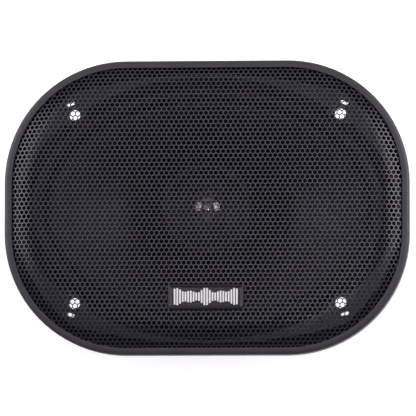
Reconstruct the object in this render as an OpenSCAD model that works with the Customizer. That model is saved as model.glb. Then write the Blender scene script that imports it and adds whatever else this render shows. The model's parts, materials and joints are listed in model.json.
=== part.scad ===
// Oval two-way coaxial car speaker with its base ring and clip-on grille.
// Millimetres. +Z points out of the front, X is the long axis, Y the short one.
// The origin is the centre of the plane where the base ring meets the panel.

/* [Grille] */
// Outer width of the trim ring, along the long axis
grille_w = 246; // [245:0.5:248]
// Outer height of the trim ring, along the short axis
grille_h = 179; // [178:0.5:181]
// Outer corner radius of the trim ring
grille_corner_r = 74; // [73:0.5:75]
// Height of the trim ring's front face above the panel
ring_top_z = 14; // [13.5:0.5:17]
// Width of the trim ring's visible front band
ring_band = 4.4; // [4:0.1:4.6]
// Thickness of the trim ring's side wall
ring_wall = 2; // [1.8:0.1:2.1]
// Thickness of the perforated steel sheet
mesh_t = 0.8; // [0.6:0.1:1]
// Width of the sheet's curved shoulder
shoulder_run = 18; // [16:0.5:20]
// Slope of the sheet where it leaves the trim ring, in degrees
shoulder_slope = 33; // [28:1:36]

/* [Badge] */
// Width of the badge
badge_w = 45.7; // [40:0.1:50]
// Height of the badge
badge_h = 15.2; // [12:0.1:17]
// Thickness of the badge
badge_t = 2.2; // [1.6:0.1:3]
// Distance of the badge's centre below the middle of the grille
badge_drop = 54.5; // [48:0.5:56]
// Number of bars in the badge's emblem
badge_bars = 24; // [12:2:26]

/* [Mounting] */
// Distance between the mounting holes along the long axis
hole_spacing_x = 162; // [161:0.5:163]
// Distance between the mounting holes along the short axis
hole_spacing_y = 115; // [113:0.5:115.5]
// Radius of a mounting hole
hole_r = 3.4; // [3:0.1:3.7]
// Length of the slot outboard of each mounting hole
slot_l = 5; // [4:0.1:5.6]
// Width of that slot
slot_w = 2.2; // [1.6:0.1:2.6]
// Thickness of the base ring's plate
base_t = 2.5; // [2:0.1:2.5]
// Height of the base ring's lip above the panel
base_lip_z = 9; // [8:0.5:10]
// Half length of the basket flange, along the long axis
flange_half_x = 117.5; // [116:0.5:118]
// Half width of the basket flange, along the short axis
flange_half_y = 82; // [81:0.5:82.5]
// Thickness of the basket's sheet steel
steel_t = 1.2; // [1:0.1:1.4]

/* [Woofer] */
// Half length of the surround's roll, at its outer edge
roll_a = 108.7; // [108:0.1:109]
// Half width of the surround's roll, at its outer edge
roll_b = 75.4; // [75:0.1:75.6]
// Width of the surround's roll
roll_w = 10.8; // [9:0.1:12]
// Depth of the cone from its rim to its neck
cone_depth = 33.4; // [30:0.2:34]
// Outer radius of the voice coil's former
coil_r = 18.9; // [18.5:0.1:19]
// Number of waves in the spider
spider_waves = 5; // [3:1:6]

/* [Motor] */
// Radius of the ferrite magnet
magnet_r = 50; // [49:0.5:50]
// Thickness of the ferrite magnet
magnet_t = 17; // [15:0.5:17]
// Radius of the steel plates
plate_r = 47.5; // [47:0.5:47.5]
// Thickness of each steel plate
plate_t = 6; // [5:0.5:6]

/* [Tweeter] */
// Radius of the tweeter's housing
tweeter_r = 27; // [25:0.5:28]
// Height of the tweeter's face above the panel
tweeter_top_z = 12; // [11:0.5:12.5]
// Radius of the tweeter's dome
dome_r = 8.9; // [8.8:0.1:9]

/* [Hidden] */
$fn = 96;
// Steps round an oval or a lofted shape
steps = 64;
// Clearance between the grille and the base ring
grille_gap = 0.3;
// Gap left by pieces that would otherwise be glued face to face
glue_gap = 0.1;

// Heights of the stack above the panel
gasket_t = 1;
flange_z = base_t + gasket_t;
flange_top = flange_z + steel_t;
rim_t = 0.6;
rim_z = flange_top + 0.05;
front_gasket_t = 3;

// Trim ring and perforated sheet, u is measured inwards from the outer edge
ring_bottom_z = 0.5;
ring_flange_t = 1.4;
seat_z = ring_top_z - ring_flange_t;
sheet_edge_u = ring_wall + 0.3;
shoulder_u = ring_band + 0.2;
shoulder_arc_r = shoulder_run / sin(shoulder_slope);
shoulder_rise = shoulder_arc_r * (1 - cos(shoulder_slope));
shoulder_steps = 8;
sheet_top_z = seat_z + shoulder_rise;
crown_u = shoulder_u + shoulder_run;

// Ribs inside the trim ring that drop into notches of the base ring's lip
rib_w = 12;
rib_depth = 2;
rib_x = 35;
base_edge_u = ring_wall + grille_gap;
lip_t = 2;

// Basket
flange_end_r = 90;
flange_side_r = 316;
slot_offset = [2.4, 6.9];
slot_turn = 20;
basket_a = 107.8;
basket_b = 74.4;
wall_t = 1.4;
landing_z = -36;
landing_r = 55;
cup_r = 46.7;
cup_bottom_z = -48;
cup_hole_r = 20.8;
arm_w = 18;
arm_angles = [30, 90, 150, 210, 270, 330];
window_low_z = -31;
window_high_z = -5;
cup_vents = 8;
// Half length, half width and height of the basket wall's outside, from the flange down
basket_sections = [
    [basket_a, basket_b, flange_z + 0.4],
    [105, 73.4, -6],
    [93, 70, -16],
    [74, 63, -26],
    [53, 53, landing_z - 0.7]
];

// Cone, from its rim to its neck
cone_rim_a = roll_a - roll_w - 3.4;
cone_rim_b = roll_b - roll_w + 0.4 - 3.4;
cone_lip = 4;
cone_top_z = rim_z - glue_gap;
cone_t = 0.8;
neck_r = coil_r + 0.3;
cone_steps = 6;
cone_curve = 1.25;

// Voice coil and motor
former_t = 0.4;
winding_t = 0.7;
winding_h = 13;
pole_r = coil_r - former_t - 0.5;
gap_r = coil_r + winding_t + 0.6;
top_plate_z = cup_bottom_z - plate_t;
magnet_z = top_plate_z - magnet_t;
back_plate_z = magnet_z - plate_t;
gap_z = top_plate_z + plate_t / 2;
pole_top_z = cup_bottom_z + 1;
magnet_bore_r = 24;
boot_t = 2.7;
boot_floor_t = 3;
boot_bottom_z = back_plate_z - boot_floor_t;
boot_gap = 0.3;
rivet_circle_r = 37;
rivet_r = 2;

// Spider
spider_z = landing_z + 0.6;
spider_t = 0.5;
spider_wave_h = 1.2;
spider_in_r = 22;
spider_out_r = 45;
spider_foot_r = 50.6;
spider_wave_points = 6;

// Tweeter and its post
post_r = 5;
post_bore_r = 2.8;
post_shoulder_r = 8;
post_top_z = -6.4;
washer_t = 0.8;
nut_t = 2;
housing_floor_z = -3.4;
yoke_r = 11.6;
yoke_in_r = dome_r + 0.7;
yoke_top_z = 5;
tweeter_gap_z = 2.2;
dome_base_z = 6.2;
dome_rise = 3.4;
dome_t = 0.3;

// Terminals on the short side
board_w = 34;
board_in_y = -55.5;
board_out_y = -72;
board_t = 1.6;
board_z = landing_z - steel_t - board_t;
tab_x = 10;
tab_y = -68;
tab_t = 0.8;
tab_drop = 9;
board_rivet_x = 12;
board_rivet_y = -59;
capacitor_r = 4;
capacitor_l = 14;
capacitor_y = -60.5;
capacitor_z = board_z - capacitor_r - 0.2;

// Wiring
tinsel_r = 0.9;
wire_r = 0.6;
wire_x = 1.1;
wire_groove_w = 4;
wire_groove_d = 2;
wire_side_y = -(magnet_r + 1.3);
anchor_r = 1.5;
anchor = [8, -28.1, -23];
// Route of the positive voice coil lead, the negative one is its mirror image
tinsel_route = [
    [10, -68, -36.6], [10, -68, -34.8], [10.4, -67.4, -32.8], [11.2, -65.6, -31],
    [12.2, -63, -29.6], [12.9, -60, -28.8], [13.2, -56.5, -28.5], [13.2, -53, -28.6],
    [12.9, -49.5, -28.8], [12.4, -46, -28.9], [11.7, -42.5, -28.7], [10.9, -39, -28.1],
    [10.1, -36, -27.2], [9.3, -33.2, -26.1], [8.4, -30.5, -24.8]
];
// The stretch of both tweeter leads from the housing to the rim of the magnet
tweeter_route = [
    [0, 0, -2.8], [0, 0, -20], [0, 0, -40], [0, 0, -60], [0, 0, -71.5],
    [0, -0.7, -74.1], [0, -2.5, -75.6], [0, -5, -76.1], [0, -20, -76.1], [0, -35, -76.1],
    [0, -46, -76.1], [0, -48.6, -75.4], [0, -50.5, -73.4], [0, -51.3, -70.8],
    [0, -51.3, -62], [0, -51.3, -51]
];
// From the rim of the magnet to the capacitor
capacitor_route = [
    [-1.2, -51.7, -49], [-2.4, -52.7, -47.4], [-4.6, -54, -46], [-7, -55.6, -45],
    [-8.8, -57.4, -44.2], [-9.6, -59.2, -43.6], [-9.4, -60.4, -43.2]
];
// From the capacitor to the positive tab
positive_tail = [
    [9.3, -60.5, -43.1], [11.1, -61, -42.9], [13, -62.4, -42.3], [14.2, -64.4, -41.7],
    [14.4, -66.4, -41.2], [13.4, -68, -40.9], [11.8, -68.5, -40.9], [10.2, -68.4, -40.9]
];
// From the rim of the magnet, under the capacitor, to the negative tab
negative_tail = [
    [1.1, -52.2, -49.4], [0.8, -54.4, -48.9], [0, -57.2, -48.7], [-1.6, -60.2, -48.7],
    [-3.8, -63.1, -48.3], [-6.2, -65.7, -46.9], [-8.4, -67.4, -44.6], [-10, -68.2, -42],
    [-10.2, -68.3, -40.3]
];

// ---- Shared shapes ----

// An ellipse with half axes a and b
module oval(a, b) {
    polygon([for (i = [0 : steps - 1]) [a * cos(i * 360 / steps), b * sin(i * 360 / steps)]]);
}

// A rectangle with round corners
module rounded_rect(w, h, r) {
    square([w, h - 2 * r], center = true);
    square([w - 2 * r, h], center = true);
    for (x = [-1, 1], y = [-1, 1])
        translate([x * (w / 2 - r), y * (h / 2 - r)])
            circle(r);
}

// The grille's outline, moved inwards by u
module grille_outline(u) {
    rounded_rect(grille_w - 2 * u, grille_h - 2 * u, grille_corner_r - u);
}

// The flange's outline: an arc on each of its four sides, moved outwards by grow
module flange_outline(grow = 0) {
    end_x = flange_half_x - flange_end_r;
    intersection() {
        union() {
            square([2 * end_x, 2 * (flange_end_r + grow)], center = true);
            for (side = [-1, 1])
                translate([side * end_x, 0])
                    circle(flange_end_r + grow, $fn = 360);
        }
        translate([0, flange_half_y - flange_side_r])
            circle(flange_side_r + grow, $fn = 720);
        translate([0, flange_side_r - flange_half_y])
            circle(flange_side_r + grow, $fn = 720);
    }
}

// Repeats its children at the four mounting holes
module at_holes() {
    for (x = [-1, 1], y = [-1, 1])
        translate([x * hole_spacing_x / 2, y * hole_spacing_y / 2, 0])
            children();
}

// The second, slotted hole outboard of each mounting hole, turned to follow the flange's edge
module slots() {
    reach = (slot_l - slot_w) / 2;
    for (x = [-1, 1], y = [-1, 1])
        translate([x * (hole_spacing_x / 2 + slot_offset[0]), y * (hole_spacing_y / 2 + slot_offset[1])])
            rotate(-x * y * slot_turn) {
                square([2 * reach, slot_w], center = true);
                for (end = [-1, 1])
                    translate([end * reach, 0])
                        circle(slot_w / 2);
            }
}

// A flat ring from radius r_in to r_out, standing on z
module ring(r_out, r_in, z, h) {
    translate([0, 0, z])
        difference() {
            cylinder(r = r_out, h = h);
            translate([0, 0, -1])
                cylinder(r = r_in, h = h + 2);
        }
}

// A closed oval ring lofted through [half length, half width, height] sections
module lofted_ring(loop) {
    count = len(loop);
    points = [
        for (s = loop, i = [0 : steps - 1])
            [s[0] * cos(i * 360 / steps), s[1] * sin(i * 360 / steps), s[2]]
    ];
    faces = [
        for (k = [0 : count - 1], i = [0 : steps - 1])
            let (
                j = (i + 1) % steps,
                m = (k + 1) % count
            )
            each [
                [k * steps + i, k * steps + j, m * steps + j],
                [k * steps + i, m * steps + j, m * steps + i]
            ]
    ];
    polyhedron(points, faces);
}

// Sweeps a profile, drawn as [u, z], round the grille's outline
module swept_round_rect(profile) {
    half_w = grille_w / 2;
    half_h = grille_h / 2;
    r = grille_corner_r;
    for (turn = [0, 180])
        rotate([0, 0, turn]) {
            // long straight side
            translate([-(half_w - r), -half_h, 0])
                rotate([90, 0, 90])
                    linear_extrude(2 * (half_w - r))
                        polygon(profile);
            // short straight side
            translate([half_w, -(half_h - r), 0])
                rotate([90, 0, 180])
                    linear_extrude(2 * (half_h - r))
                        polygon(profile);
            // two corners
            for (y = [-1, 1])
                translate([half_w - r, y * (half_h - r), 0])
                    rotate([0, 0, y < 0 ? -90 : 0])
                        rotate_extrude(angle = 90)
                            polygon([for (p = profile) [r - p[0], p[1]]]);
        }
}

// Repeats its children where the trim ring has a rib, with the outer edge at y = 0
module at_ribs() {
    half_w = grille_w / 2 - grille_corner_r;
    half_h = grille_h / 2 - grille_corner_r;
    for (turn = [0, 180])
        rotate([0, 0, turn]) {
            for (x = [-rib_x, rib_x])
                translate([x, -grille_h / 2, 0])
                    children();
            for (side = [-1, 1])
                translate([side * half_w, -half_h, 0])
                    rotate([0, 0, side * 45])
                        translate([0, -grille_corner_r, 0])
                            children();
        }
}

function add(a, b) = [a[0] + b[0], a[1] + b[1], a[2] + b[2]];
function direction(route, i) =
    let (
        before = route[max(0, i - 1)],
        after = route[min(len(route) - 1, i + 1)],
        d = after - before
    )
    d / norm(d);
function across(d) =
    let (side = abs(d[0]) < 0.9 ? cross(d, [1, 0, 0]) : cross(d, [0, 1, 0]))
    side / norm(side);

// A round tube of radius r along a route
module wire(route, r) {
    sides = 8;
    count = len(route);
    points = [
        for (i = [0 : count - 1])
            let (
                d = direction(route, i),
                u = across(d),
                v = cross(d, u)
            )
            for (s = [0 : sides - 1])
                add(route[i], r * (cos(s * 360 / sides) * u + sin(s * 360 / sides) * v))
    ];
    walls = [
        for (i = [0 : count - 2], s = [0 : sides - 1])
            let (t = (s + 1) % sides)
            each [
                [i * sides + s, (i + 1) * sides + s, (i + 1) * sides + t],
                [i * sides + s, (i + 1) * sides + t, i * sides + t]
            ]
    ];
    first = [for (s = [0 : sides - 1]) s];
    last = [for (s = [sides - 1 : -1 : 0]) (count - 1) * sides + s];
    polyhedron(points, concat(walls, [first], [last]));
}

// ---- Grille ----

module grille_ring() color("#24222a") {
    swept_round_rect([
        [0, ring_bottom_z], [ring_wall, ring_bottom_z], [ring_wall, seat_z],
        [ring_band, seat_z], [ring_band, ring_top_z - 0.5], [ring_band - 0.5, ring_top_z],
        [1.4, ring_top_z], [0.4, ring_top_z - 0.4], [0, ring_top_z - 1.4]
    ]);
    at_ribs()
        translate([-rib_w / 2, ring_wall - 0.5, base_t + grille_gap])
            cube([rib_w, rib_depth + 0.5, seat_z - mesh_t - glue_gap - base_t - grille_gap]);
}

// Height of the sheet's top face above its rim, at share t of the shoulder
function shoulder_at(t) =
    let (a = shoulder_slope * (1 - t))
    [
        shoulder_u + shoulder_run - shoulder_arc_r * sin(a),
        seat_z + shoulder_arc_r * (cos(a) - cos(shoulder_slope))
    ];

module grille_mesh() color("#3a3840")
    difference() {
        union() {
            top = concat(
                [[sheet_edge_u, seat_z - glue_gap / 2]],
                [for (i = [0 : shoulder_steps]) shoulder_at(i / shoulder_steps) - [0, glue_gap / 2]]
            );
            bottom = [for (i = [len(top) - 1 : -1 : 0]) top[i] - [0, mesh_t]];
            swept_round_rect(concat(top, bottom));
            translate([0, 0, sheet_top_z - mesh_t - glue_gap / 2])
                linear_extrude(mesh_t)
                    grille_outline(crown_u);
        }
        at_badge_pins()
            translate([0, 0, sheet_top_z - 3])
                cylinder(r = 1.3, h = 6);
    }

module at_badge_pins() {
    for (x = [-1, 1])
        translate([x * 0.4 * badge_w, -badge_drop, 0])
            children();
}

module badge() color("#2c2a30") {
    translate([0, -badge_drop, sheet_top_z]) {
        linear_extrude(badge_t - 0.5)
            rounded_rect(badge_w, badge_h, 1.5);
        translate([0, 0, badge_t - 0.5])
            linear_extrude(0.5)
                rounded_rect(badge_w - 0.8, badge_h - 0.8, 1.1);
    }
    at_badge_pins()
        translate([0, 0, sheet_top_z - 2.6])
            cylinder(r = 1, h = 3);
}

// Upright bars whose heights swell and fade like a sound wave
module badge_emblem() color("#f2f2f2") {
    pitch = 0.86 * badge_w / badge_bars;
    for (i = [0 : badge_bars - 1]) {
        x = (i - (badge_bars - 1) / 2) * pitch;
        swell = 0.66 + 0.34 * cos(x * 9) * cos(x * 31);
        translate([x, -badge_drop, sheet_top_z + badge_t + 0.01])
            linear_extrude(0.15)
                rounded_rect(0.66 * pitch, 0.7 * badge_h * swell, 0.25 * pitch);
    }
}

module badge_push_nuts() color("#b8b8bc")
    at_badge_pins() {
        ring(3.2, 1.06, sheet_top_z - mesh_t - 0.9, 0.7);
        ring(1.9, 1.06, sheet_top_z - mesh_t - 1.4, 0.5);
    }

// ---- Base ring and gaskets ----

module base_ring() color("#1d1c20")
    difference() {
        union() {
            linear_extrude(base_t)
                grille_outline(base_edge_u);
            linear_extrude(base_lip_z)
                difference() {
                    grille_outline(base_edge_u);
                    grille_outline(base_edge_u + lip_t);
                }
            // low wall that locates the basket's flange
            linear_extrude(flange_top)
                intersection() {
                    difference() {
                        flange_outline(2);
                        flange_outline(0.5);
                    }
                    grille_outline(base_edge_u);
                }
            at_holes()
                cylinder(r = 5, h = flange_z - 0.05);
        }
        translate([0, 0, -1]) {
            linear_extrude(base_lip_z + 2)
                oval(basket_a + 0.8, basket_b + 0.8);
            linear_extrude(base_lip_z + 2)
                slots();
            at_holes()
                cylinder(r = hole_r, h = base_lip_z + 2);
        }
        at_ribs()
            translate([-(rib_w / 2 + grille_gap), 0, base_t])
                cube([rib_w + 2 * grille_gap, base_edge_u + lip_t, base_lip_z]);
    }

module rear_gasket() color("#2a2a2c")
    translate([0, 0, base_t + 0.02])
        linear_extrude(gasket_t - 0.04)
            difference() {
                flange_outline(-1);
                oval(basket_a + 1.4, basket_b + 1.4);
                at_holes()
                    circle(6.2);
                slots();
            }

module front_gasket() color("#39373c")
    translate([0, 0, rim_z + rim_t + 0.05])
        linear_extrude(front_gasket_t)
            difference() {
                oval(roll_a + 6, roll_b + 4.4);
                oval(roll_a + 0.5, roll_b + 0.5);
                at_holes()
                    circle(8);
            }

// ---- Basket ----

module basket() color("#26262a")
    difference() {
        union() {
            basket_wall();
            // flange with a raised ring round each hole
            translate([0, 0, flange_z]) {
                linear_extrude(steel_t)
                    difference() {
                        flange_outline();
                        oval(basket_a - wall_t + 0.5, basket_b - wall_t + 0.5);
                        slots();
                    }
                at_holes()
                    cylinder(r = 5, h = steel_t + 0.4);
            }
            // spider landing, cup and floor
            ring(landing_r, cup_r - steel_t, landing_z - steel_t, steel_t);
            ring(cup_r, cup_r - steel_t, cup_bottom_z, landing_z - cup_bottom_z - 0.1);
            ring(cup_r, cup_hole_r, cup_bottom_z, steel_t);
            // bracket for the terminal board
            translate([-15, -63, landing_z - steel_t])
                cube([30, 63 - cup_r + 0.4, steel_t]);
        }
        at_holes()
            cylinder(r = hole_r, h = 20);
        cup_vent_cuts();
        for (turn = [0 : 3])
            rotate([0, 0, 45 + 90 * turn])
                translate([rivet_circle_r, 0, cup_bottom_z - 1])
                    cylinder(r = rivet_r + 0.05, h = steel_t + 2);
        for (x = [-1, 1])
            translate([x * board_rivet_x, board_rivet_y, landing_z - 3])
                cylinder(r = 1.55, h = 4);
    }

module basket_wall() {
    outside = basket_sections;
    inside = [for (i = [len(outside) - 1 : -1 : 0]) outside[i] - [wall_t, wall_t, 0]];
    difference() {
        lofted_ring(concat(outside, inside));
        // windows between the arms
        translate([0, 0, window_low_z])
            linear_extrude(window_high_z - window_low_z)
                difference() {
                    square([300, 220], center = true);
                    for (a = arm_angles)
                        rotate(a)
                            translate([0, -arm_w / 2])
                                square([150, arm_w]);
                }
    }
}

module cup_vent_cuts() {
    for (i = [0 : cup_vents - 1])
        rotate([0, 0, (i + 0.5) * 360 / cup_vents])
            translate([cup_r - 4, -7, cup_bottom_z + 4])
                cube([8, 14, 5]);
}

module basket_rivets() color("#8c8c90")
    for (turn = [0 : 3])
        rotate([0, 0, 45 + 90 * turn])
            translate([rivet_circle_r, 0, 0]) {
                translate([0, 0, cup_bottom_z - 3])
                    cylinder(r = rivet_r, h = 3 + steel_t + 0.05);
                translate([0, 0, cup_bottom_z + steel_t + 0.05])
                    cylinder(r1 = 3.6, r2 = 2.4, h = 1.2);
            }

// ---- Cone assembly ----

module surround() color("#1b1a1d") {
    inner_a = roll_a - roll_w;
    inner_b = roll_b - roll_w + 0.4;
    arc = 8;
    // Top face from the outer rim over the roll to the rim on the cone
    top = concat(
        [[roll_a + 2.3, roll_b + 2.3, rim_z + rim_t]],
        [
            for (i = [0 : arc])
                let (
                    t = (1 - cos(i * 180 / arc)) / 2,
                    rise = roll_w / 2 * sin(i * 180 / arc)
                )
                [
                    roll_a + (inner_a - roll_a) * t,
                    roll_b + (inner_b - roll_b) * t,
                    rim_z + rim_t + rise
                ]
        ],
        [[inner_a - 3, inner_b - 3, rim_z + rim_t]]
    );
    bottom = [
        for (i = [len(top) - 1 : -1 : 0])
            let (rise = top[i][2] - rim_z - rim_t)
            [
                top[i][0] + (i == 1 ? -rim_t : i == len(top) - 2 ? rim_t : 0),
                top[i][1] + (i == 1 ? -rim_t : i == len(top) - 2 ? rim_t : 0),
                rim_z + max(0, rise - 0.02)
            ]
    ];
    difference() {
        lofted_ring(concat(bottom, top));
        at_holes()
            cylinder(r = 5.25, h = 20);
    }
}

// Section of the cone's front face at share t of the way from its rim to its neck
function cone_at(t, drop = 0) = [
    cone_rim_a + (neck_r - cone_rim_a) * t,
    cone_rim_b + (neck_r - cone_rim_b) * t,
    cone_top_z - cone_depth * pow(t, cone_curve) - drop
];

module cone() color("#3b3a40") {
    front = concat(
        [[cone_rim_a + cone_lip, cone_rim_b + cone_lip, cone_top_z]],
        [for (i = [0 : cone_steps]) cone_at(i / cone_steps)]
    );
    rear = [for (i = [len(front) - 1 : -1 : 0]) front[i] - [0, 0, cone_t]];
    lofted_ring(concat(front, rear));
}

// Glue beads that hold the flexible leads on the cone's rear face
module lead_anchors() color("#141414")
    for (x = [-1, 1])
        translate([x * anchor[0], anchor[1], anchor[2]])
            sphere(anchor_r);

module voice_coil_former() color("#b89a5a")
    ring(coil_r, coil_r - former_t, gap_z - winding_h / 2 - 0.5, 30.5);

module voice_coil_winding() color("#a8652f")
    ring(coil_r + winding_t, coil_r, gap_z - winding_h / 2, winding_h);

module dust_filter() color("#202022")
    ring(coil_r - former_t - 0.6, post_shoulder_r + 0.05, landing_z + 3, 3);

module spider() color("#b58a3c") {
    count = spider_waves * spider_wave_points;
    top = concat(
        [[coil_r + 0.05, spider_z + spider_t]],
        [
            for (i = [0 : count])
                [
                    spider_in_r + (spider_out_r - spider_in_r) * i / count,
                    spider_z + spider_t + spider_wave_h * sin(i * 360 / spider_wave_points)
                ]
        ],
        [[spider_foot_r, spider_z + spider_t], [spider_foot_r, landing_z + 0.02]]
    );
    bottom = concat(
        [[cup_r, landing_z + 0.02]],
        [for (i = [count + 1 : -1 : 0]) [top[i][0], top[i][1] - spider_t]]
    );
    rotate_extrude()
        polygon(concat(top, bottom));
}

// ---- Motor ----

module top_plate() color("#9a9aa0")
    difference() {
        ring(plate_r, gap_r, top_plate_z, plate_t);
        for (turn = [0 : 3])
            rotate([0, 0, 45 + 90 * turn])
                translate([rivet_circle_r, 0, cup_bottom_z - 3])
                    cylinder(r = rivet_r + 0.05, h = 4);
    }

module magnet() color("#3c3c3e")
    ring(magnet_r, magnet_bore_r, magnet_z, magnet_t);

module back_plate() color("#9a9aa0")
    difference() {
        union() {
            translate([0, 0, back_plate_z])
                cylinder(r = plate_r, h = plate_t);
            translate([0, 0, back_plate_z])
                cylinder(r = pole_r, h = pole_top_z - back_plate_z);
        }
        translate([0, 0, back_plate_z - 1])
            cylinder(r = post_r + 0.1, h = pole_top_z - back_plate_z + 2);
        // groove for the tweeter's leads
        translate([-wire_groove_w / 2, -plate_r - 1, back_plate_z - 1])
            cube([wire_groove_w, plate_r + 1, 1 + wire_groove_d]);
    }

module magnet_boot() color("#18181a") {
    inner_r = magnet_r + boot_gap;
    outer_r = inner_r + boot_t;
    difference() {
        union() {
            translate([0, 0, boot_bottom_z])
                cylinder(r1 = outer_r - 2, r2 = outer_r, h = 2);
            translate([0, 0, boot_bottom_z + 2])
                cylinder(r = outer_r, h = top_plate_z + 2 - boot_bottom_z - 2);
        }
        translate([0, 0, back_plate_z])
            cylinder(r = inner_r, h = top_plate_z + 0.2 - back_plate_z);
        // mouth round the top plate
        translate([0, 0, top_plate_z])
            cylinder(r = plate_r + 0.4, h = 10);
        // opening for the nut
        translate([0, 0, boot_bottom_z - 1])
            cylinder(r = 11, h = 10);
        // channel for the tweeter's leads
        translate([-wire_groove_w / 2, wire_side_y - wire_r - 0.3, back_plate_z])
            cube([wire_groove_w, 10, 40]);
        // grooves in the rear face
        for (r = [18, 26, 34, 42])
            ring(r + 1, r - 1, boot_bottom_z - 1, 1.6);
    }
}

// ---- Tweeter ----

module tweeter_post() color("#87878c")
    difference() {
        union() {
            translate([0, 0, boot_bottom_z + 0.3])
                cylinder(r = post_r, h = pole_top_z - boot_bottom_z);
            translate([0, 0, pole_top_z + 0.02])
                cylinder(r = post_shoulder_r, h = 24);
            translate([0, 0, pole_top_z + 24])
                cylinder(r1 = post_shoulder_r, r2 = 6.5, h = post_top_z - pole_top_z - 24);
        }
        translate([0, 0, boot_bottom_z])
            cylinder(r = post_bore_r, h = 100);
        // way out for the leads, into the back plate's groove
        translate([-wire_groove_w / 2, -10, back_plate_z])
            cube([wire_groove_w, 10, 4]);
    }

module post_washer() color("#a0a0a4")
    ring(8.5, post_r + 0.1, back_plate_z - washer_t - 0.02, washer_t);

module post_nut() color("#a0a0a4")
    translate([0, 0, back_plate_z - washer_t - nut_t - 0.04])
        difference() {
            cylinder(r = 9.2, h = nut_t, $fn = 6);
            translate([0, 0, -1])
                cylinder(r = post_r + 0.02, h = nut_t + 2);
        }

module tweeter_housing() color("#1f1e22")
    difference() {
        rotate_extrude()
            polygon([
                [0, post_top_z + 0.05], [9, post_top_z + 0.05], [14, housing_floor_z],
                [23, 1], [tweeter_r, 6.5], [tweeter_r, tweeter_top_z - 1.5],
                [tweeter_r - 1.6, tweeter_top_z - 1.5], [tweeter_r - 1.6, 7.2],
                [21.8, 2.6], [13.4, -1], [yoke_r + 0.2, -1], [yoke_r + 0.2, housing_floor_z],
                [0, housing_floor_z]
            ]);
        translate([0, 0, post_top_z - 1])
            cylinder(r = post_bore_r, h = 10);
    }

// Face ring: an outer rim, a shallow dish and a raised ring round the dome
module tweeter_bezel() color("#232226")
    rotate_extrude()
        polygon([
            [tweeter_r, tweeter_top_z - 1.4], [tweeter_r, tweeter_top_z - 0.5],
            [tweeter_r - 0.6, tweeter_top_z], [24.2, tweeter_top_z], [22.6, 11], [19.5, 9.2],
            [16, 8.2], [15, 8.2], [15, 9.2], [13.4, 9.2], [13.4, 7.4], [12.2, 7],
            [12.2, 6.6], [17, 6.6], [20.4, 7.8], [23.6, 9.6], [24.9, tweeter_top_z - 1.4]
        ]);

module tweeter_yoke() color("#94949a")
    rotate_extrude()
        polygon([
            [post_bore_r, housing_floor_z + 0.05], [yoke_r, housing_floor_z + 0.05],
            [yoke_r, yoke_top_z], [yoke_in_r, yoke_top_z], [yoke_in_r, -1.3],
            [post_bore_r, -1.3]
        ]);

module tweeter_magnet() color("#c8c8cc")
    translate([0, 0, -1.25])
        cylinder(r = 7.2, h = tweeter_gap_z + 1.2);

module tweeter_pole_cap() color("#94949a")
    translate([0, 0, tweeter_gap_z])
        cylinder(r = dome_r - 1.3, h = yoke_top_z - 0.2 - tweeter_gap_z);

module tweeter_felt_pad() color("#e6e2d6")
    translate([0, 0, yoke_top_z - 0.15])
        cylinder(r = 6, h = 0.6);

module tweeter_dome() color("#8a8890") {
    sphere_r = (dome_r * dome_r + dome_rise * dome_rise) / (2 * dome_rise);
    reach = asin(dome_r / sphere_r);
    arc = [for (i = [0 : 6]) reach * i / 6];
    outside = [
        for (a = arc) [sphere_r * sin(a), dome_base_z + dome_rise - sphere_r * (1 - cos(a))]
    ];
    inside = [for (i = [len(outside) - 1 : -1 : 0]) outside[i] - [0, dome_t]];
    rotate_extrude()
        polygon(concat(outside, inside));
}

module tweeter_surround() color("#2a282c")
    rotate_extrude()
        polygon([
            [dome_r + 0.1, dome_base_z - 0.3], [dome_r + 0.1, dome_base_z],
            [dome_r + 0.8, dome_base_z + 0.8], [dome_r + 1.7, dome_base_z + 0.8],
            [dome_r + 2.4, dome_base_z + 0.2], [13.2, dome_base_z + 0.2],
            [13.2, dome_base_z - 0.1], [dome_r + 2.2, dome_base_z - 0.1],
            [dome_r + 1.6, dome_base_z + 0.5], [dome_r + 0.9, dome_base_z + 0.5],
            [dome_r + 0.4, dome_base_z - 0.3]
        ]);

module tweeter_voice_coil() color("#a8652f")
    ring(dome_r, dome_r - 0.7, tweeter_gap_z - 0.8, dome_base_z - 0.35 - tweeter_gap_z + 0.8);

// ---- Terminals and wiring ----

module terminal_board() color("#4a3322")
    difference() {
        translate([-board_w / 2, board_out_y, board_z])
            cube([board_w, board_in_y - board_out_y, board_t]);
        at_board_rivets()
            translate([0, 0, board_z - 1])
                cylinder(r = 1.55, h = 4);
        for (x = [-1, 1])
            translate([x * tab_x, tab_y, board_z - 1])
                cylinder(r = 1.25, h = 4);
    }

module at_board_rivets() {
    for (x = [-1, 1])
        translate([x * board_rivet_x, board_rivet_y, 0])
            children();
}

module board_rivets() color("#a0a0a4")
    at_board_rivets() {
        translate([0, 0, board_z - 0.7])
            cylinder(r = 1.5, h = board_t + steel_t + 1.4);
        translate([0, 0, board_z - 0.95])
            cylinder(r = 2.8, h = 0.9);
        translate([0, 0, landing_z + 0.05])
            cylinder(r1 = 2.8, r2 = 1.8, h = 0.9);
    }

// A spade tab of the given width, bent down from a foot that lies under the board
module tab(x, width)
    difference() {
        union() {
            translate([x - 3.2, tab_y - 2.8, board_z - tab_t - 0.05])
                cube([6.4, 5.6, tab_t]);
            translate([x - width / 2, tab_y + 2.8 - tab_t, board_z - tab_drop])
                cube([width, tab_t, tab_drop - 0.4]);
        }
        translate([x, tab_y, board_z - 4])
            cylinder(r = 1.25, h = 6);
        translate([x, tab_y + 4, board_z - tab_drop + 3.2])
            rotate([90, 0, 0])
                cylinder(r = 0.8, h = 6);
    }

module positive_tab() color("#d8c27a")
    tab(tab_x, 6.3);

module negative_tab() color("#d8c27a")
    tab(-tab_x, 4.8);

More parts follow.
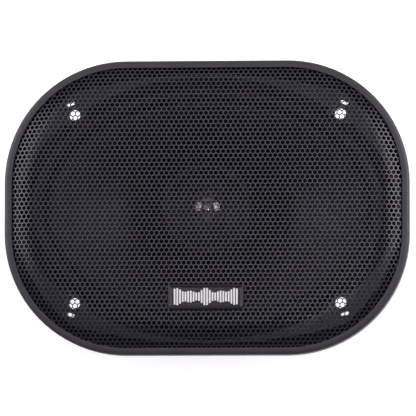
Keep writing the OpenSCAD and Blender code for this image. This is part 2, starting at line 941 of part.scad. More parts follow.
// Hollow eyelets that join each lead to its tab
module tab_rivets() color("#c9b26a")
    for (x = [-1, 1])
        translate([x * tab_x, tab_y, 0]) {
            translate([0, 0, board_z - tab_t - 0.05])
                cylinder(r = 1.2, h = board_t + tab_t + 0.1);
            translate([0, 0, board_z - tab_t - 0.6])
                cylinder(r = 2, h = 0.5);
            translate([0, 0, board_z + board_t + 0.05])
                cylinder(r = 2, h = 0.5);
        }

module tinsel_lead_positive() color("#b5713c")
    wire(tinsel_route, tinsel_r);

module tinsel_lead_negative() color("#2b2b2d")
    mirror([1, 0, 0])
        wire(tinsel_route, tinsel_r);

module capacitor() color("#1d3f7a") {
    translate([-capacitor_l / 2, capacitor_y, capacitor_z])
        rotate([0, 90, 0])
            cylinder(r = capacitor_r, h = capacitor_l);
    translate([-capacitor_l / 2 - 1.8, capacitor_y, capacitor_z])
        rotate([0, 90, 0])
            cylinder(r = 0.4, h = capacitor_l + 3.6);
}

function shifted(route, x) = [for (p = route) add(p, [x, 0, 0])];

module tweeter_lead_positive() color("#c23a2e") {
    wire(concat(shifted(tweeter_route, -wire_x), capacitor_route), wire_r);
    wire(positive_tail, wire_r);
}

module tweeter_lead_negative() color("#252528")
    wire(concat(shifted(tweeter_route, wire_x), negative_tail), wire_r);

base_ring();
rear_gasket();
basket();
front_gasket();
surround();
cone();
lead_anchors();
dust_filter();
voice_coil_former();
voice_coil_winding();
spider();
top_plate();
magnet();
back_plate();
magnet_boot();
basket_rivets();
tweeter_post();
post_washer();
post_nut();
tweeter_housing();
tweeter_bezel();
tweeter_yoke();
tweeter_magnet();
tweeter_pole_cap();
tweeter_felt_pad();
tweeter_dome();
tweeter_surround();
tweeter_voice_coil();
terminal_board();
board_rivets();
positive_tab();
negative_tab();
tab_rivets();
tinsel_lead_positive();
tinsel_lead_negative();
capacitor();
tweeter_lead_positive();
tweeter_lead_negative();
grille_ring();
grille_mesh();
badge();
badge_emblem();
badge_push_nuts();
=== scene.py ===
"""Looks of an oval coaxial car speaker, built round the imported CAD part. Shapes are in millimetres."""

import json
import math
from contextlib import contextmanager

import bmesh
import bpy
import numpy as np
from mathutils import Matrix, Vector
from mathutils.geometry import tessellate_polygon


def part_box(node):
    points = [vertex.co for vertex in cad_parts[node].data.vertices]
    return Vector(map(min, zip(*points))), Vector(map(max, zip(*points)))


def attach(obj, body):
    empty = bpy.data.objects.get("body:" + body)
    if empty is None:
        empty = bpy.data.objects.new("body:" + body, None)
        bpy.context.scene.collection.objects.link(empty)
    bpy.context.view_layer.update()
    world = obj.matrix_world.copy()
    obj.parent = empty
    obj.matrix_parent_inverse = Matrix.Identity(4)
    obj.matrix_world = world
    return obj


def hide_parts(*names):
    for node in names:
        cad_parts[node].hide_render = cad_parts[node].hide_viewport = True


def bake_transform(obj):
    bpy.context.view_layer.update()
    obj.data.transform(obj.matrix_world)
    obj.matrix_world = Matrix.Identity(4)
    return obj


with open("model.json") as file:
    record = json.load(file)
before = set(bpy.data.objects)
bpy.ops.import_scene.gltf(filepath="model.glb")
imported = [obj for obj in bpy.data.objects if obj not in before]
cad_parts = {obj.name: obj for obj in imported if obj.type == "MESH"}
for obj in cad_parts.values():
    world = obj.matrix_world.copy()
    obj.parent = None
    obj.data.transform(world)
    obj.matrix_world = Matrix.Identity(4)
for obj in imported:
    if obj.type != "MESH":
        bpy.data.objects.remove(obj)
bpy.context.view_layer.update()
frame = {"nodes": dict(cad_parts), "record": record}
scene = bpy.context.scene
nodes = frame["nodes"]
slot_of = {row["node"]: row["material_slot"] for row in frame["record"]["subparts"]}

MM = 0.001
MERGE_DISTANCE = 2e-6
TURN = 2 * math.pi

# ---- Driving sizes, in millimetres, the same as the frame's ----

GRILLE_W, GRILLE_H, GRILLE_R = 246, 179, 74
RING_TOP, RING_BOTTOM, RING_WALL, RING_BAND = 14, 0.5, 2, 4.4
SEAT_Z = 12.6
SHEET_T, SHEET_EDGE = 0.8, 2.3
SHOULDER_RUN, SHOULDER_SLOPE = 18, math.radians(33)
SHOULDER_START = RING_BAND + 0.2
SHOULDER_R = SHOULDER_RUN / math.sin(SHOULDER_SLOPE)
CROWN_Z = SEAT_Z + SHOULDER_R * (1 - math.cos(SHOULDER_SLOPE))
HOLE_PITCH, HOLE_WIDTH = 3.0, 2.42

BADGE_W, BADGE_H, BADGE_T, BADGE_Y = 45.7, 15.2, 2.2, -54.5
BADGE_BARS = 24

MOUNT_X, MOUNT_Y, MOUNT_R = 81, 57.5, 3.4
SLOT_L, SLOT_W, SLOT_TURN = 5, 2.2, math.radians(20)
SLOT_OFFSET = (2.4, 6.9)
FLANGE_Z, STEEL_T = 3.5, 1.2
BASKET_SECTIONS = [(107.8, 74.4, 3.9), (105, 73.4, -6), (93, 70, -16), (74, 63, -26), (53, 53, -36.7)]
ARM_ANGLES = [30, 90, 150, 210, 270, 330]
ARM_HALF = 9
WINDOW_HIGH, WINDOW_LOW = -5, -31
LANDING_Z = -36
OVAL_STEPS = 192

ROLL_A, ROLL_B, ROLL_W = 108.7, 75.4, 10.8
ROLL_IN_A, ROLL_IN_B = ROLL_A - ROLL_W, ROLL_B - ROLL_W + 0.4
RIM_Z, RIM_T = 4.75, 0.6
CONE_RIM_A, CONE_RIM_B, CONE_NECK_R = 94.5, 62, 19.2
CONE_TOP, CONE_DEPTH, CONE_CURVE, CONE_T = 4.65, 33.4, 1.25, 0.8

TWEETER_R, TWEETER_TOP = 27, 12
DOME_R, DOME_BASE, DOME_RISE = 8.9, 6.2, 3.4

# ---- Camera and light ----

VIEW_WIDTH = 0.2521
CAMERA_DISTANCE = 3.0
CAMERA_LEAN = (math.radians(3.7), math.radians(-4.4))
VIEW_CENTRE = (0.0010, -0.0004)
LIGHT_TINT = (1.0, 0.95, 1.03)
WORLD_STRENGTH = 0.07
FLOOR_GLOW = 0.62


def linked(name, data):
    """A new object in the scene that shows the data."""
    obj = bpy.data.objects.new(name, data)
    scene.collection.objects.link(obj)
    return obj


def make_camera():
    """Nearly straight down on the grille, with VIEW_WIDTH across the picture at the trim ring."""
    data = bpy.data.cameras.new("camera")
    data.sensor_width = 36
    data.lens = data.sensor_width * CAMERA_DISTANCE / VIEW_WIDTH
    camera = linked("camera", data)
    target = Vector((*VIEW_CENTRE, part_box("grille_ring")[1].z))
    camera.rotation_euler = (-CAMERA_LEAN[1], CAMERA_LEAN[0], 0)
    camera.location = target + camera.rotation_euler.to_matrix() @ Vector((0, 0, CAMERA_DISTANCE))
    scene.camera = camera


make_camera()

# ---- Mesh helpers ----


def from_faces(name, verts, faces, smooth_deg=35):
    """A mesh object from points in millimetres, smooth except along edges sharper than smooth_deg."""
    mesh = bpy.data.meshes.new(name)
    mesh.from_pydata((np.asarray(verts, float) * MM).tolist(), [], faces)
    obj = linked(name, mesh)
    tidy_mesh(mesh)
    smooth(obj, smooth_deg)
    return obj


@contextmanager
def edited(mesh):
    """Lends the mesh as a bmesh, then writes it back with its normals turned outwards."""
    bm = bmesh.new()
    bm.from_mesh(mesh)
    yield bm
    bmesh.ops.recalc_face_normals(bm, faces=bm.faces)
    bm.to_mesh(mesh)
    bm.free()


def tidy_mesh(mesh):
    """Merges doubled points and drops loose edges."""
    with edited(mesh) as bm:
        bmesh.ops.remove_doubles(bm, verts=bm.verts, dist=MERGE_DISTANCE)
        loose = [e for e in bm.edges if not e.link_faces]
        bmesh.ops.delete(bm, geom=loose, context="EDGES")


def smooth(obj, degrees):
    obj.data.polygons.foreach_set("use_smooth", [True] * len(obj.data.polygons))
    obj.data.set_sharp_from_angle(angle=math.radians(degrees))


def bake_modifiers(obj):
    """Makes the modifiers' result the piece's own mesh."""
    graph = bpy.context.evaluated_depsgraph_get()
    mesh = bpy.data.meshes.new_from_object(obj.evaluated_get(graph))
    obj.modifiers.clear()
    obj.data = mesh


def join(name, parts):
    """One object from several."""
    for part in parts:
        if part.modifiers:
            bake_modifiers(part)
    with bpy.context.temp_override(
        object=parts[0], active_object=parts[0], selected_objects=parts, selected_editable_objects=parts
    ):
        bpy.ops.object.join()
    parts[0].name = name
    return parts[0]


def band(row, next_row, count):
    """Quads between two rows of count points, as (position in the row, face)."""
    for i in range(count):
        j = (i + 1) % count
        a, b = row * count, next_row * count
        yield i, (a + i, a + j, b + j, b + i)


def loft(name, loops, closed=True, smooth_deg=35):
    """Quads between loops of the same number of points; closed joins the last loop to the first."""
    count = len(loops[0])
    verts = [p for loop in loops for p in loop]
    spans = len(loops) if closed else len(loops) - 1
    faces = []
    for k in range(spans):
        faces.extend(face for _, face in band(k, (k + 1) % len(loops), count))
    return from_faces(name, verts, faces, smooth_deg)


def circle(rx, ry, z, count=128, centre=(0, 0)):
    return [
        (centre[0] + rx * math.cos(TURN * i / count), centre[1] + ry * math.sin(TURN * i / count), z)
        for i in range(count)
    ]


def rounded(corners, steps=3):
    """A closed profile from (x, y, radius) corners, each rounded by its radius."""
    points = []
    count = len(corners)
    for i, (x, y, r) in enumerate(corners):
        here = np.array([x, y], float)
        before = np.array(corners[i - 1][:2], float) - here
        after = np.array(corners[(i + 1) % count][:2], float) - here
        reach = min(r, 0.45 * np.linalg.norm(before), 0.45 * np.linalg.norm(after))
        if reach < 0.01:
            points.append((x, y))
            continue
        start = here + before / np.linalg.norm(before) * reach
        end = here + after / np.linalg.norm(after) * reach
        for k in range(steps + 1):
            t = k / steps
            points.append(tuple((1 - t) ** 2 * start + 2 * t * (1 - t) * here + t * t * end))
    return points


def lathe(name, profile, count=128, smooth_deg=35):
    """Turns a closed (radius, height) profile about the Z axis."""
    return loft(name, [circle(r, r, z, count) for r, z in profile], True, smooth_deg)


def rounded_rectangle(w, h, r, z, steps=8, centre_y=0.0):
    points = []
    for quarter, (sx, sy) in enumerate([(1, 1), (-1, 1), (-1, -1), (1, -1)]):
        for i in range(steps + 1):
            a = (quarter + i / steps) * math.pi / 2
            x = sx * (w / 2 - r) + r * math.cos(a)
            y = sy * (h / 2 - r) + r * math.sin(a)
            points.append((x, y + centre_y, z))
    return points


def outline(inset, z):
    """The grille's rounded rectangle, moved inwards."""
    return rounded_rectangle(GRILLE_W - 2 * inset, GRILLE_H - 2 * inset, GRILLE_R - inset, z, 24)


def inset_of(x, y):
    """Distance of a point inside the grille's outline."""
    qx = abs(x) - (GRILLE_W / 2 - GRILLE_R)
    qy = abs(y) - (GRILLE_H / 2 - GRILLE_R)
    return GRILLE_R - math.hypot(max(qx, 0), max(qy, 0)) - min(max(qx, qy), 0)


def block(name, centre, size, turn=0.0, bevel=0.3):
    """A rounded block, turned about Z."""
    bm = bmesh.new()
    bmesh.ops.create_cube(bm, size=1)
    bmesh.ops.scale(bm, vec=Vector(size) * MM, verts=bm.verts)
    mesh = bpy.data.meshes.new(name)
    bm.to_mesh(mesh)
    bm.free()
    obj = linked(name, mesh)
    round_edges(obj, bevel)
    bake_modifiers(obj)
    spin = np.array([[math.cos(turn), -math.sin(turn)], [math.sin(turn), math.cos(turn)]])
    for v in obj.data.vertices:
        v.co.xy = spin @ np.array(v.co.xy)
        v.co += Vector(centre) * MM
    return obj


def round_edges(obj, width, segments=2):
    bevel = obj.modifiers.new("bevel", "BEVEL")
    bevel.width = width * MM
    bevel.segments = segments
    bevel.use_clamp_overlap = False
    bevel.limit_method = "ANGLE"
    bevel.angle_limit = math.radians(32)
    obj.modifiers.new("weighted", "WEIGHTED_NORMAL")
    obj.data.polygons.foreach_set("use_smooth", [True] * len(obj.data.polygons))


def softened(node, width, segments=2):
    """A copy of a CAD node with its sharp edges rounded, as moulding and stamping leave them."""
    source = nodes[node].data
    mesh = bpy.data.meshes.new(node + "_shape")
    mesh.from_pydata([v.co[:] for v in source.vertices], [], [p.vertices[:] for p in source.polygons])
    with edited(mesh) as bm:
        bmesh.ops.remove_doubles(bm, verts=bm.verts, dist=MERGE_DISTANCE)
        bmesh.ops.dissolve_limit(bm, angle_limit=math.radians(0.8), verts=bm.verts, edges=bm.edges)
        bmesh.ops.triangulate(bm, faces=bm.faces)
    obj = linked(node + "_shape", mesh)
    round_edges(obj, width, segments)
    return obj


def plate(name, outer, holes, low, high):
    """A flat plate from an outer outline and holes, drawn as (x, y) points."""
    loops = [[(x, y, 0) for x, y in loop] for loop in [outer, *holes]]
    flat = [p for loop in loops for p in loop]
    top = [(x, y, high) for x, y, _ in flat]
    bottom = [(x, y, low) for x, y, _ in flat]
    count = len(flat)
    faces = []
    for a, b, c in tessellate_polygon([[Vector(p) for p in loop] for loop in loops]):
        faces.append((a, b, c))
        faces.append((a + count, c + count, b + count))
    start = 0
    for loop in loops:
        for i in range(len(loop)):
            a, b = start + i, start + (i + 1) % len(loop)
            faces.append((a, a + count, b + count, b))
        start += len(loop)
    return from_faces(name, top + bottom, faces, 30)


def smooth_route(route, steps=6):
    """A Catmull-Rom curve through a route's points."""
    p = [np.array(q, float) for q in route]
    p = [2 * p[0] - p[1], *p, 2 * p[-1] - p[-2]]
    points = []
    for i in range(1, len(p) - 2):
        for k in range(steps):
            t = k / steps
            points.append(
                0.5 * (
                    2 * p[i]
                    + (p[i + 1] - p[i - 1]) * t
                    + (2 * p[i - 1] - 5 * p[i] + 4 * p[i + 1] - p[i + 2]) * t ** 2
                    + (3 * p[i] - p[i - 1] - 3 * p[i + 1] + p[i + 2]) * t ** 3
                )
            )
    points.append(p[-2])
    return points


def tube(name, route, radius, sides=14):
    """A round tube along a route, with UVs that run along it and round it."""
    points = smooth_route(route)
    side = np.array([1.0, 0, 0])
    verts, lengths, travelled = [], [], 0.0
    for i, point in enumerate(points):
        ahead = points[min(i + 1, len(points) - 1)] - points[max(i - 1, 0)]
        ahead /= np.linalg.norm(ahead)
        side = side - ahead * side.dot(ahead)
        side /= np.linalg.norm(side)
        up = np.cross(ahead, side)
        travelled += np.linalg.norm(point - points[i - 1]) if i else 0
        lengths.append(travelled)
        for s in range(sides):
            a = TURN * s / sides
            verts.append(point + radius * (math.cos(a) * side + math.sin(a) * up))
    faces = []
    for i in range(len(points) - 1):
        faces.extend(face for _, face in band(i, i + 1, sides))
    faces.append(tuple(range(sides))[::-1])
    faces.append(tuple((len(points) - 1) * sides + s for s in range(sides)))
    mesh = bpy.data.meshes.new(name)
    mesh.from_pydata((np.array(verts) * MM).tolist(), [], faces)
    uv = mesh.uv_layers.new(name="UVMap").data
    for polygon in mesh.polygons:
        wraps = {mesh.loops[l].vertex_index % sides for l in polygon.loop_indices} == {0, sides - 1}
        for l in polygon.loop_indices:
            row, s = divmod(mesh.loops[l].vertex_index, sides)
            share = 1.0 if wraps and s == 0 else s / sides
            uv[l].uv = (lengths[row] / (TURN * radius), share)
    obj = linked(name, mesh)
    smooth(obj, 60)
    return obj


def blend_across(piece, share):
    """Works out each point's share, 0 at the piece's fixed edge and 1 at its moving edge, then puts the
    points back where they were: the shares are not kept.
    """
    rest = [v.co.copy() for v in piece.data.vertices]
    for v in piece.data.vertices:
        v.co = (share(rest[v.index] / MM), 0, 0)
    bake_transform(piece)
    for v in piece.data.vertices:
        v.co = rest[v.index]


def linear_share(value, fixed, moving):
    return min(1.0, max(0.0, (value - fixed) / (moving - fixed)))


# ---- Material helpers ----


class Finish:
    """A Principled material that is built up step by step, on object coordinates in metres."""

    def __init__(self, name, roughness, metallic=0.0, specular=0.5, coat=0.0, sheen=0.0, uv=False):
        self.material = bpy.data.materials.new(name)
        self.material.use_nodes = True
        self.tree = self.material.node_tree
        self.shader = self.tree.nodes["Principled BSDF"]
        self.shader.inputs["Roughness"].default_value = roughness
        self.shader.inputs["Metallic"].default_value = metallic
        self.shader.inputs["Specular IOR Level"].default_value = specular
        self.shader.inputs["Coat Weight"].default_value = coat
        self.shader.inputs["Coat Roughness"].default_value = 0.25
        self.shader.inputs["Sheen Weight"].default_value = sheen
        coordinates = self.tree.nodes.new("ShaderNodeTexCoord")
        self.place = coordinates.outputs["UV" if uv else "Object"]
        self.normal = None

    def add(self, kind, links=None, values=None, **settings):
        made = self.tree.nodes.new("ShaderNode" + kind)
        for key, value in settings.items():
            setattr(made, key, value)
        for key, value in (values or {}).items():
            made.inputs[key].default_value = value
        for key, socket in (links or {}).items():
            self.tree.links.new(socket, made.inputs[key])
        return made

    def stretched(self, scale):
        return self.add("Mapping", {"Vector": self.place}, {"Scale": scale}).outputs["Vector"]

    def noise(self, size, detail=3, stretch=(1, 1, 1)):
        """Noise with blotches of about size millimetres."""
        place = self.stretched(stretch)
        made = self.add("TexNoise", {"Vector": place}, {"Scale": 1 / (size * MM), "Detail": detail})
        return made.outputs["Fac"]

    def cells(self, size, feature="F1"):
        made = self.add("TexVoronoi", {"Vector": self.place}, {"Scale": 1 / (size * MM)}, feature=feature)
        return made.outputs["Distance"]

    def waves(self, size, direction="X", distortion=0.0):
        """Parallel ridges size millimetres apart."""
        made = self.add(
            "TexWave", {"Vector": self.place},
            {"Scale": 0.314 / (size * MM), "Distortion": distortion, "Detail": 1},
            bands_direction=direction,
        )
        return made.outputs["Fac"]

    def radius_noise(self, size):
        """Fine rings round the Z axis, as turning leaves them."""
        flat = self.add("VectorMath", {0: self.place}, {1: (1, 1, 0)}, operation="MULTIPLY")
        length = self.add("VectorMath", {0: flat.outputs[0]}, operation="LENGTH")
        place = self.add("CombineXYZ", {"X": length.outputs["Value"]})
        made = self.add(
            "TexNoise", {"Vector": place.outputs[0]}, {"Scale": 1 / (size * MM), "Detail": 2}
        )
        return made.outputs["Fac"]

    def remap(self, value, low, high, to_low, to_high):
        made = self.add(
            "MapRange", {"Value": value},
            {"From Min": low, "From Max": high, "To Min": to_low, "To Max": to_high},
        )
        return made.outputs["Result"]

    def product(self, a, b):
        return self.add("Math", {0: a, 1: b}, operation="MULTIPLY").outputs[0]

    def colour(self, factor, dark, light, low=0.3, high=0.7):
        """Base colour between dark and light, driven by a pattern."""
        ramp = self.add("ValToRGB", {"Fac": factor})
        ramp.color_ramp.elements[0].position = low
        ramp.color_ramp.elements[0].color = (*dark, 1)
        ramp.color_ramp.elements[1].position = high
        ramp.color_ramp.elements[1].color = (*light, 1)
        self.tree.links.new(ramp.outputs["Color"], self.shader.inputs["Base Color"])
        return ramp.outputs["Color"]

    def over(self, under, factor, colour):
        """Lays a second colour over the first where factor is high."""
        made = self.add("Mix", {"Factor": factor, 6: under}, data_type="RGBA")
        made.inputs[7].default_value = (*colour, 1)
        self.tree.links.new(made.outputs[2], self.shader.inputs["Base Color"])
        return made.outputs[2]

    def rough(self, factor, smoothest, roughest):
        result = self.remap(factor, 0.3, 0.7, smoothest, roughest)
        self.tree.links.new(result, self.shader.inputs["Roughness"])

    def bump(self, height, depth, strength=1.0):
        """Bump of about depth millimetres, on top of the bumps made before."""
        links = {"Height": height}
        if self.normal is not None:
            links["Normal"] = self.normal
        made = self.add("Bump", links, {"Distance": depth * MM, "Strength": strength})
        self.normal = made.outputs["Normal"]
        self.tree.links.new(self.normal, self.shader.inputs["Normal"])


def shade(colour, factor):
    return tuple(min(1.0, c * factor) for c in colour)


def moulded_plastic(name, colour, roughness, specular=0.45, grain=0.35, depth=0.02):
    """Injection moulding with a fine sparked grain and faint flow marks."""
    f = Finish(name, roughness, specular=specular)
    f.colour(f.noise(9, 4), shade(colour, 0.88), shade(colour, 1.12))
    f.rough(f.noise(3, 5), roughness - 0.07, roughness + 0.08)
    f.bump(f.noise(14, 2), 0.05, 0.25)
    f.bump(f.noise(grain, 3), depth, 0.7)
    return f.material


def powder_coat(name, colour, roughness, specular=0.5):
    """Baked powder paint with orange peel and a few specks."""
    f = Finish(name, roughness, specular=specular, coat=0.12)
    base = f.colour(f.noise(5, 4), shade(colour, 0.85), shade(colour, 1.15))
    f.over(base, f.remap(f.cells(1.6), 0.0, 0.05, 1, 0), shade(colour, 1.8))
    f.rough(f.noise(0.9, 4), roughness - 0.06, roughness + 0.08)
    f.bump(f.noise(0.45, 2), 0.03, 0.6)
    return f.material


def rubber(name, colour, roughness=0.62):
    """Soft black rubber with a dusty bloom and mould texture."""
    f = Finish(name, roughness, specular=0.2)
    f.colour(f.noise(11, 5), shade(colour, 0.8), shade(colour, 1.35))
    f.rough(f.noise(2.5, 5), roughness - 0.1, roughness + 0.12)
    f.bump(f.noise(0.6, 3), 0.03, 0.6)
    return f.material


def plated_steel(name, colour, roughness=0.3, tint=(0.62, 0.60, 0.50)):
    """Turned or pressed steel with a passivated zinc plate."""
    f = Finish(name, roughness, metallic=1.0)
    base = f.colour(f.noise(6, 4), shade(colour, 0.82), shade(colour, 1.1))
    f.over(base, f.remap(f.noise(13, 3), 0.5, 0.75, 0, 0.5), tint)
    f.rough(f.noise(1.2, 5), roughness - 0.08, roughness + 0.14)
    f.bump(f.radius_noise(0.35), 0.012, 0.6)
    f.bump(f.noise(0.25, 2), 0.006, 0.5)
    return f.material


def ferrite(name, colour):
    """Sintered ferrite: grey-black, ground, with pores and small chips, the pores' pits darkened as painted
    shade.
    """
    f = Finish(name, 0.55, specular=0.4)
    base = f.colour(f.noise(3, 6), shade(colour, 0.75), shade(colour, 1.4))
    # painted shade: darker colour where the pore bump below has its pits
    f.over(base, f.remap(f.cells(0.9), 0.0, 0.12, 1, 0), shade(colour, 0.4))
    f.rough(f.noise(1.5, 5), 0.45, 0.7)
    f.bump(f.cells(0.9), 0.05, 0.5)
    f.bump(f.waves(0.5, "Z", 2.0), 0.01, 0.6)
    return f.material


def woven_cloth(name, dark, light, thread, roughness=0.75, sheen=0.25):
    """Plain weave: two sets of threads, impregnated unevenly."""
    f = Finish(name, roughness, specular=0.25, sheen=sheen)
    weave = f.product(f.waves(thread, "X", 0.4), f.waves(thread, "Y", 0.4))
    f.colour(weave, dark, light, 0.05, 0.7)
    f.rough(f.noise(3, 4), roughness - 0.12, roughness + 0.1)
    f.bump(weave, 0.12, 0.9)
    f.bump(f.noise(0.3, 3), 0.03, 0.5)
    return f.material


def foam(name, colour, size=0.7):
    """Open foam: pits of different sizes."""
    f = Finish(name, 0.9, specular=0.15, sheen=0.15)
    f.colour(f.cells(size), shade(colour, 1.5), shade(colour, 0.4), 0.1, 0.7)
    f.bump(f.cells(size), 0.35, 1.0)
    f.bump(f.cells(size * 0.37), 0.12, 0.8)
    return f.material


def fibre_board(name, colour):
    """Pressed fibre: short hairs in every direction."""
    f = Finish(name, 0.88, specular=0.15, sheen=0.02)
    hairs = f.noise(0.35, 5, (1, 0.25, 1))
    f.colour(hairs, shade(colour, 0.7), shade(colour, 1.5))
    f.bump(hairs, 0.07, 0.8)
    f.bump(f.noise(0.35, 5, (0.25, 1, 1)), 0.05, 0.8)
    return f.material


def cone_finish(name, colour):
    """Mica-filled polypropylene: dark, with a soft shine and pale flakes."""
    f = Finish(name, 0.42, specular=0.3)
    base = f.colour(f.noise(7, 5), shade(colour, 0.85), shade(colour, 1.2))
    f.over(base, f.remap(f.cells(1.1), 0.0, 0.18, 0.7, 0), shade(colour, 2.6))
    f.rough(f.noise(1.8, 5), 0.34, 0.52)
    f.bump(f.radius_noise(0.8), 0.02, 0.5)
    f.bump(f.noise(0.5, 3), 0.02, 0.6)
    return f.material


def copper_winding(name, pitch):
    """Enamelled wire laid turn by turn."""
    f = Finish(name, 0.28, metallic=1.0, coat=0.4)
    turns = f.waves(pitch, "Z")
    f.colour(turns, (0.25, 0.09, 0.03), (0.78, 0.38, 0.17), 0.1, 0.8)
    f.bump(turns, 0.15, 1.0)
    return f.material


def coil_foil(name):
    """Thin foil of the coil's former, with a heat-stained edge."""
    f = Finish(name, 0.3, metallic=1.0)
    f.colour(f.noise(8, 4), (0.50, 0.42, 0.28), (0.78, 0.74, 0.62))
    f.rough(f.noise(1, 5), 0.2, 0.45)
    f.bump(f.waves(1.8, "Z", 1.5), 0.02, 0.5)
    return f.material


def braid(name, colour, thread_colour):
    """Flat copper strands braided over a cotton core, on the tube's own UVs."""
    f = Finish(name, 0.42, metallic=0.75, uv=True)
    strands = []
    for slant in (1, -1):
        along = f.add("Mapping", {"Vector": f.place}, {"Rotation": (0, 0, slant * math.pi / 4)})
        wave = f.add("TexWave", {"Vector": along.outputs[0]}, {"Scale": 1.8, "Distortion": 0.2})
        strands.append(wave.outputs["Fac"])
    crossing = f.product(*strands)
    f.colour(crossing, thread_colour, colour, 0.05, 0.6)
    f.bump(crossing, 0.25, 1.0)
    return f.material


def wire_jacket(name, colour):
    """Extruded PVC jacket, slightly uneven and dusty."""
    f = Finish(name, 0.4, specular=0.5)
    f.colour(f.noise(4, 4), shade(colour, 0.8), shade(colour, 1.15))
    f.rough(f.noise(1.2, 4), 0.32, 0.55)
    f.bump(f.noise(1.5, 2), 0.05, 0.5)
    return f.material


def shrink_sleeve(name, colour):
    """Shrunk sleeve with fine creases."""
    f = Finish(name, 0.3, specular=0.5, coat=0.3)
    f.colour(f.noise(5, 4), shade(colour, 0.75), shade(colour, 1.2))
    f.rough(f.noise(1.5, 4), 0.24, 0.42)
    f.bump(f.waves(2.4, "X", 3.0), 0.04, 0.6)
    f.bump(f.noise(2, 3), 0.08, 0.5)
    return f.material


def phenolic_board(name, colour):
    """Paper laminate: layered brown with fibre grain."""
    f = Finish(name, 0.42, specular=0.45)
    grain = f.noise(0.8, 5, (0.15, 1, 1))
    f.colour(grain, shade(colour, 0.7), shade(colour, 1.3))
    f.rough(f.noise(2, 4), 0.34, 0.55)
    f.bump(grain, 0.03, 0.6)
    return f.material


def tinned_brass(name, colour):
    f = Finish(name, 0.3, metallic=1.0)
    base = f.colour(f.noise(1.5, 5), shade(colour, 0.8), shade(colour, 1.1))
    f.over(base, f.remap(f.noise(4, 3), 0.45, 0.6, 0, 0.8), (0.74, 0.73, 0.70))
    f.rough(f.noise(0.8, 5), 0.2, 0.42)
    f.bump(f.noise(0.4, 3, (4, 1, 1)), 0.015, 0.6)
    return f.material


def glue_bead(name):
    f = Finish(name, 0.22, specular=0.5, coat=0.2)
    f.colour(f.noise(1.2, 4), (0.010, 0.010, 0.010), (0.03, 0.028, 0.026))
    f.bump(f.noise(1.0, 3), 0.15, 0.6)
    return f.material


def wool_felt(name, colour):
    f = Finish(name, 0.95, specular=0.1, sheen=0.5)
    hairs = f.noise(0.5, 6, (1, 0.3, 1))
    f.colour(hairs, shade(colour, 0.65), colour)
    f.bump(hairs, 0.2, 0.9)
    return f.material


def dome_finish(name, colour):
    """Thin formed metal with a dark satin film."""
    f = Finish(name, 0.06, metallic=0.9)
    f.colour(f.noise(4, 4), shade(colour, 0.85), shade(colour, 1.1))
    f.rough(f.noise(0.8, 5), 0.04, 0.09)
    f.bump(f.radius_noise(0.5), 0.01, 0.5)
    return f.material


def badge_finish(name, colour):
    """Spun and lacquered metal plate."""
    f = Finish(name, 0.34, metallic=0.4, specular=0.4, coat=0.15)
    f.colour(f.noise(2, 4, (0.2, 1, 1)), shade(colour, 0.85), shade(colour, 1.15))
    f.rough(f.noise(0.7, 5, (0.08, 1, 1)), 0.28, 0.44)
    f.bump(f.noise(0.3, 3, (0.05, 1, 1)), 0.01, 0.6)
    return f.material


def enamel(name, colour):
    f = Finish(name, 0.25, coat=0.3)
    f.colour(f.noise(1.5, 3), shade(colour, 0.93), colour)
    f.rough(f.noise(0.8, 4), 0.2, 0.34)
    f.bump(f.noise(0.8, 2), 0.02, 0.5)
    return f.material


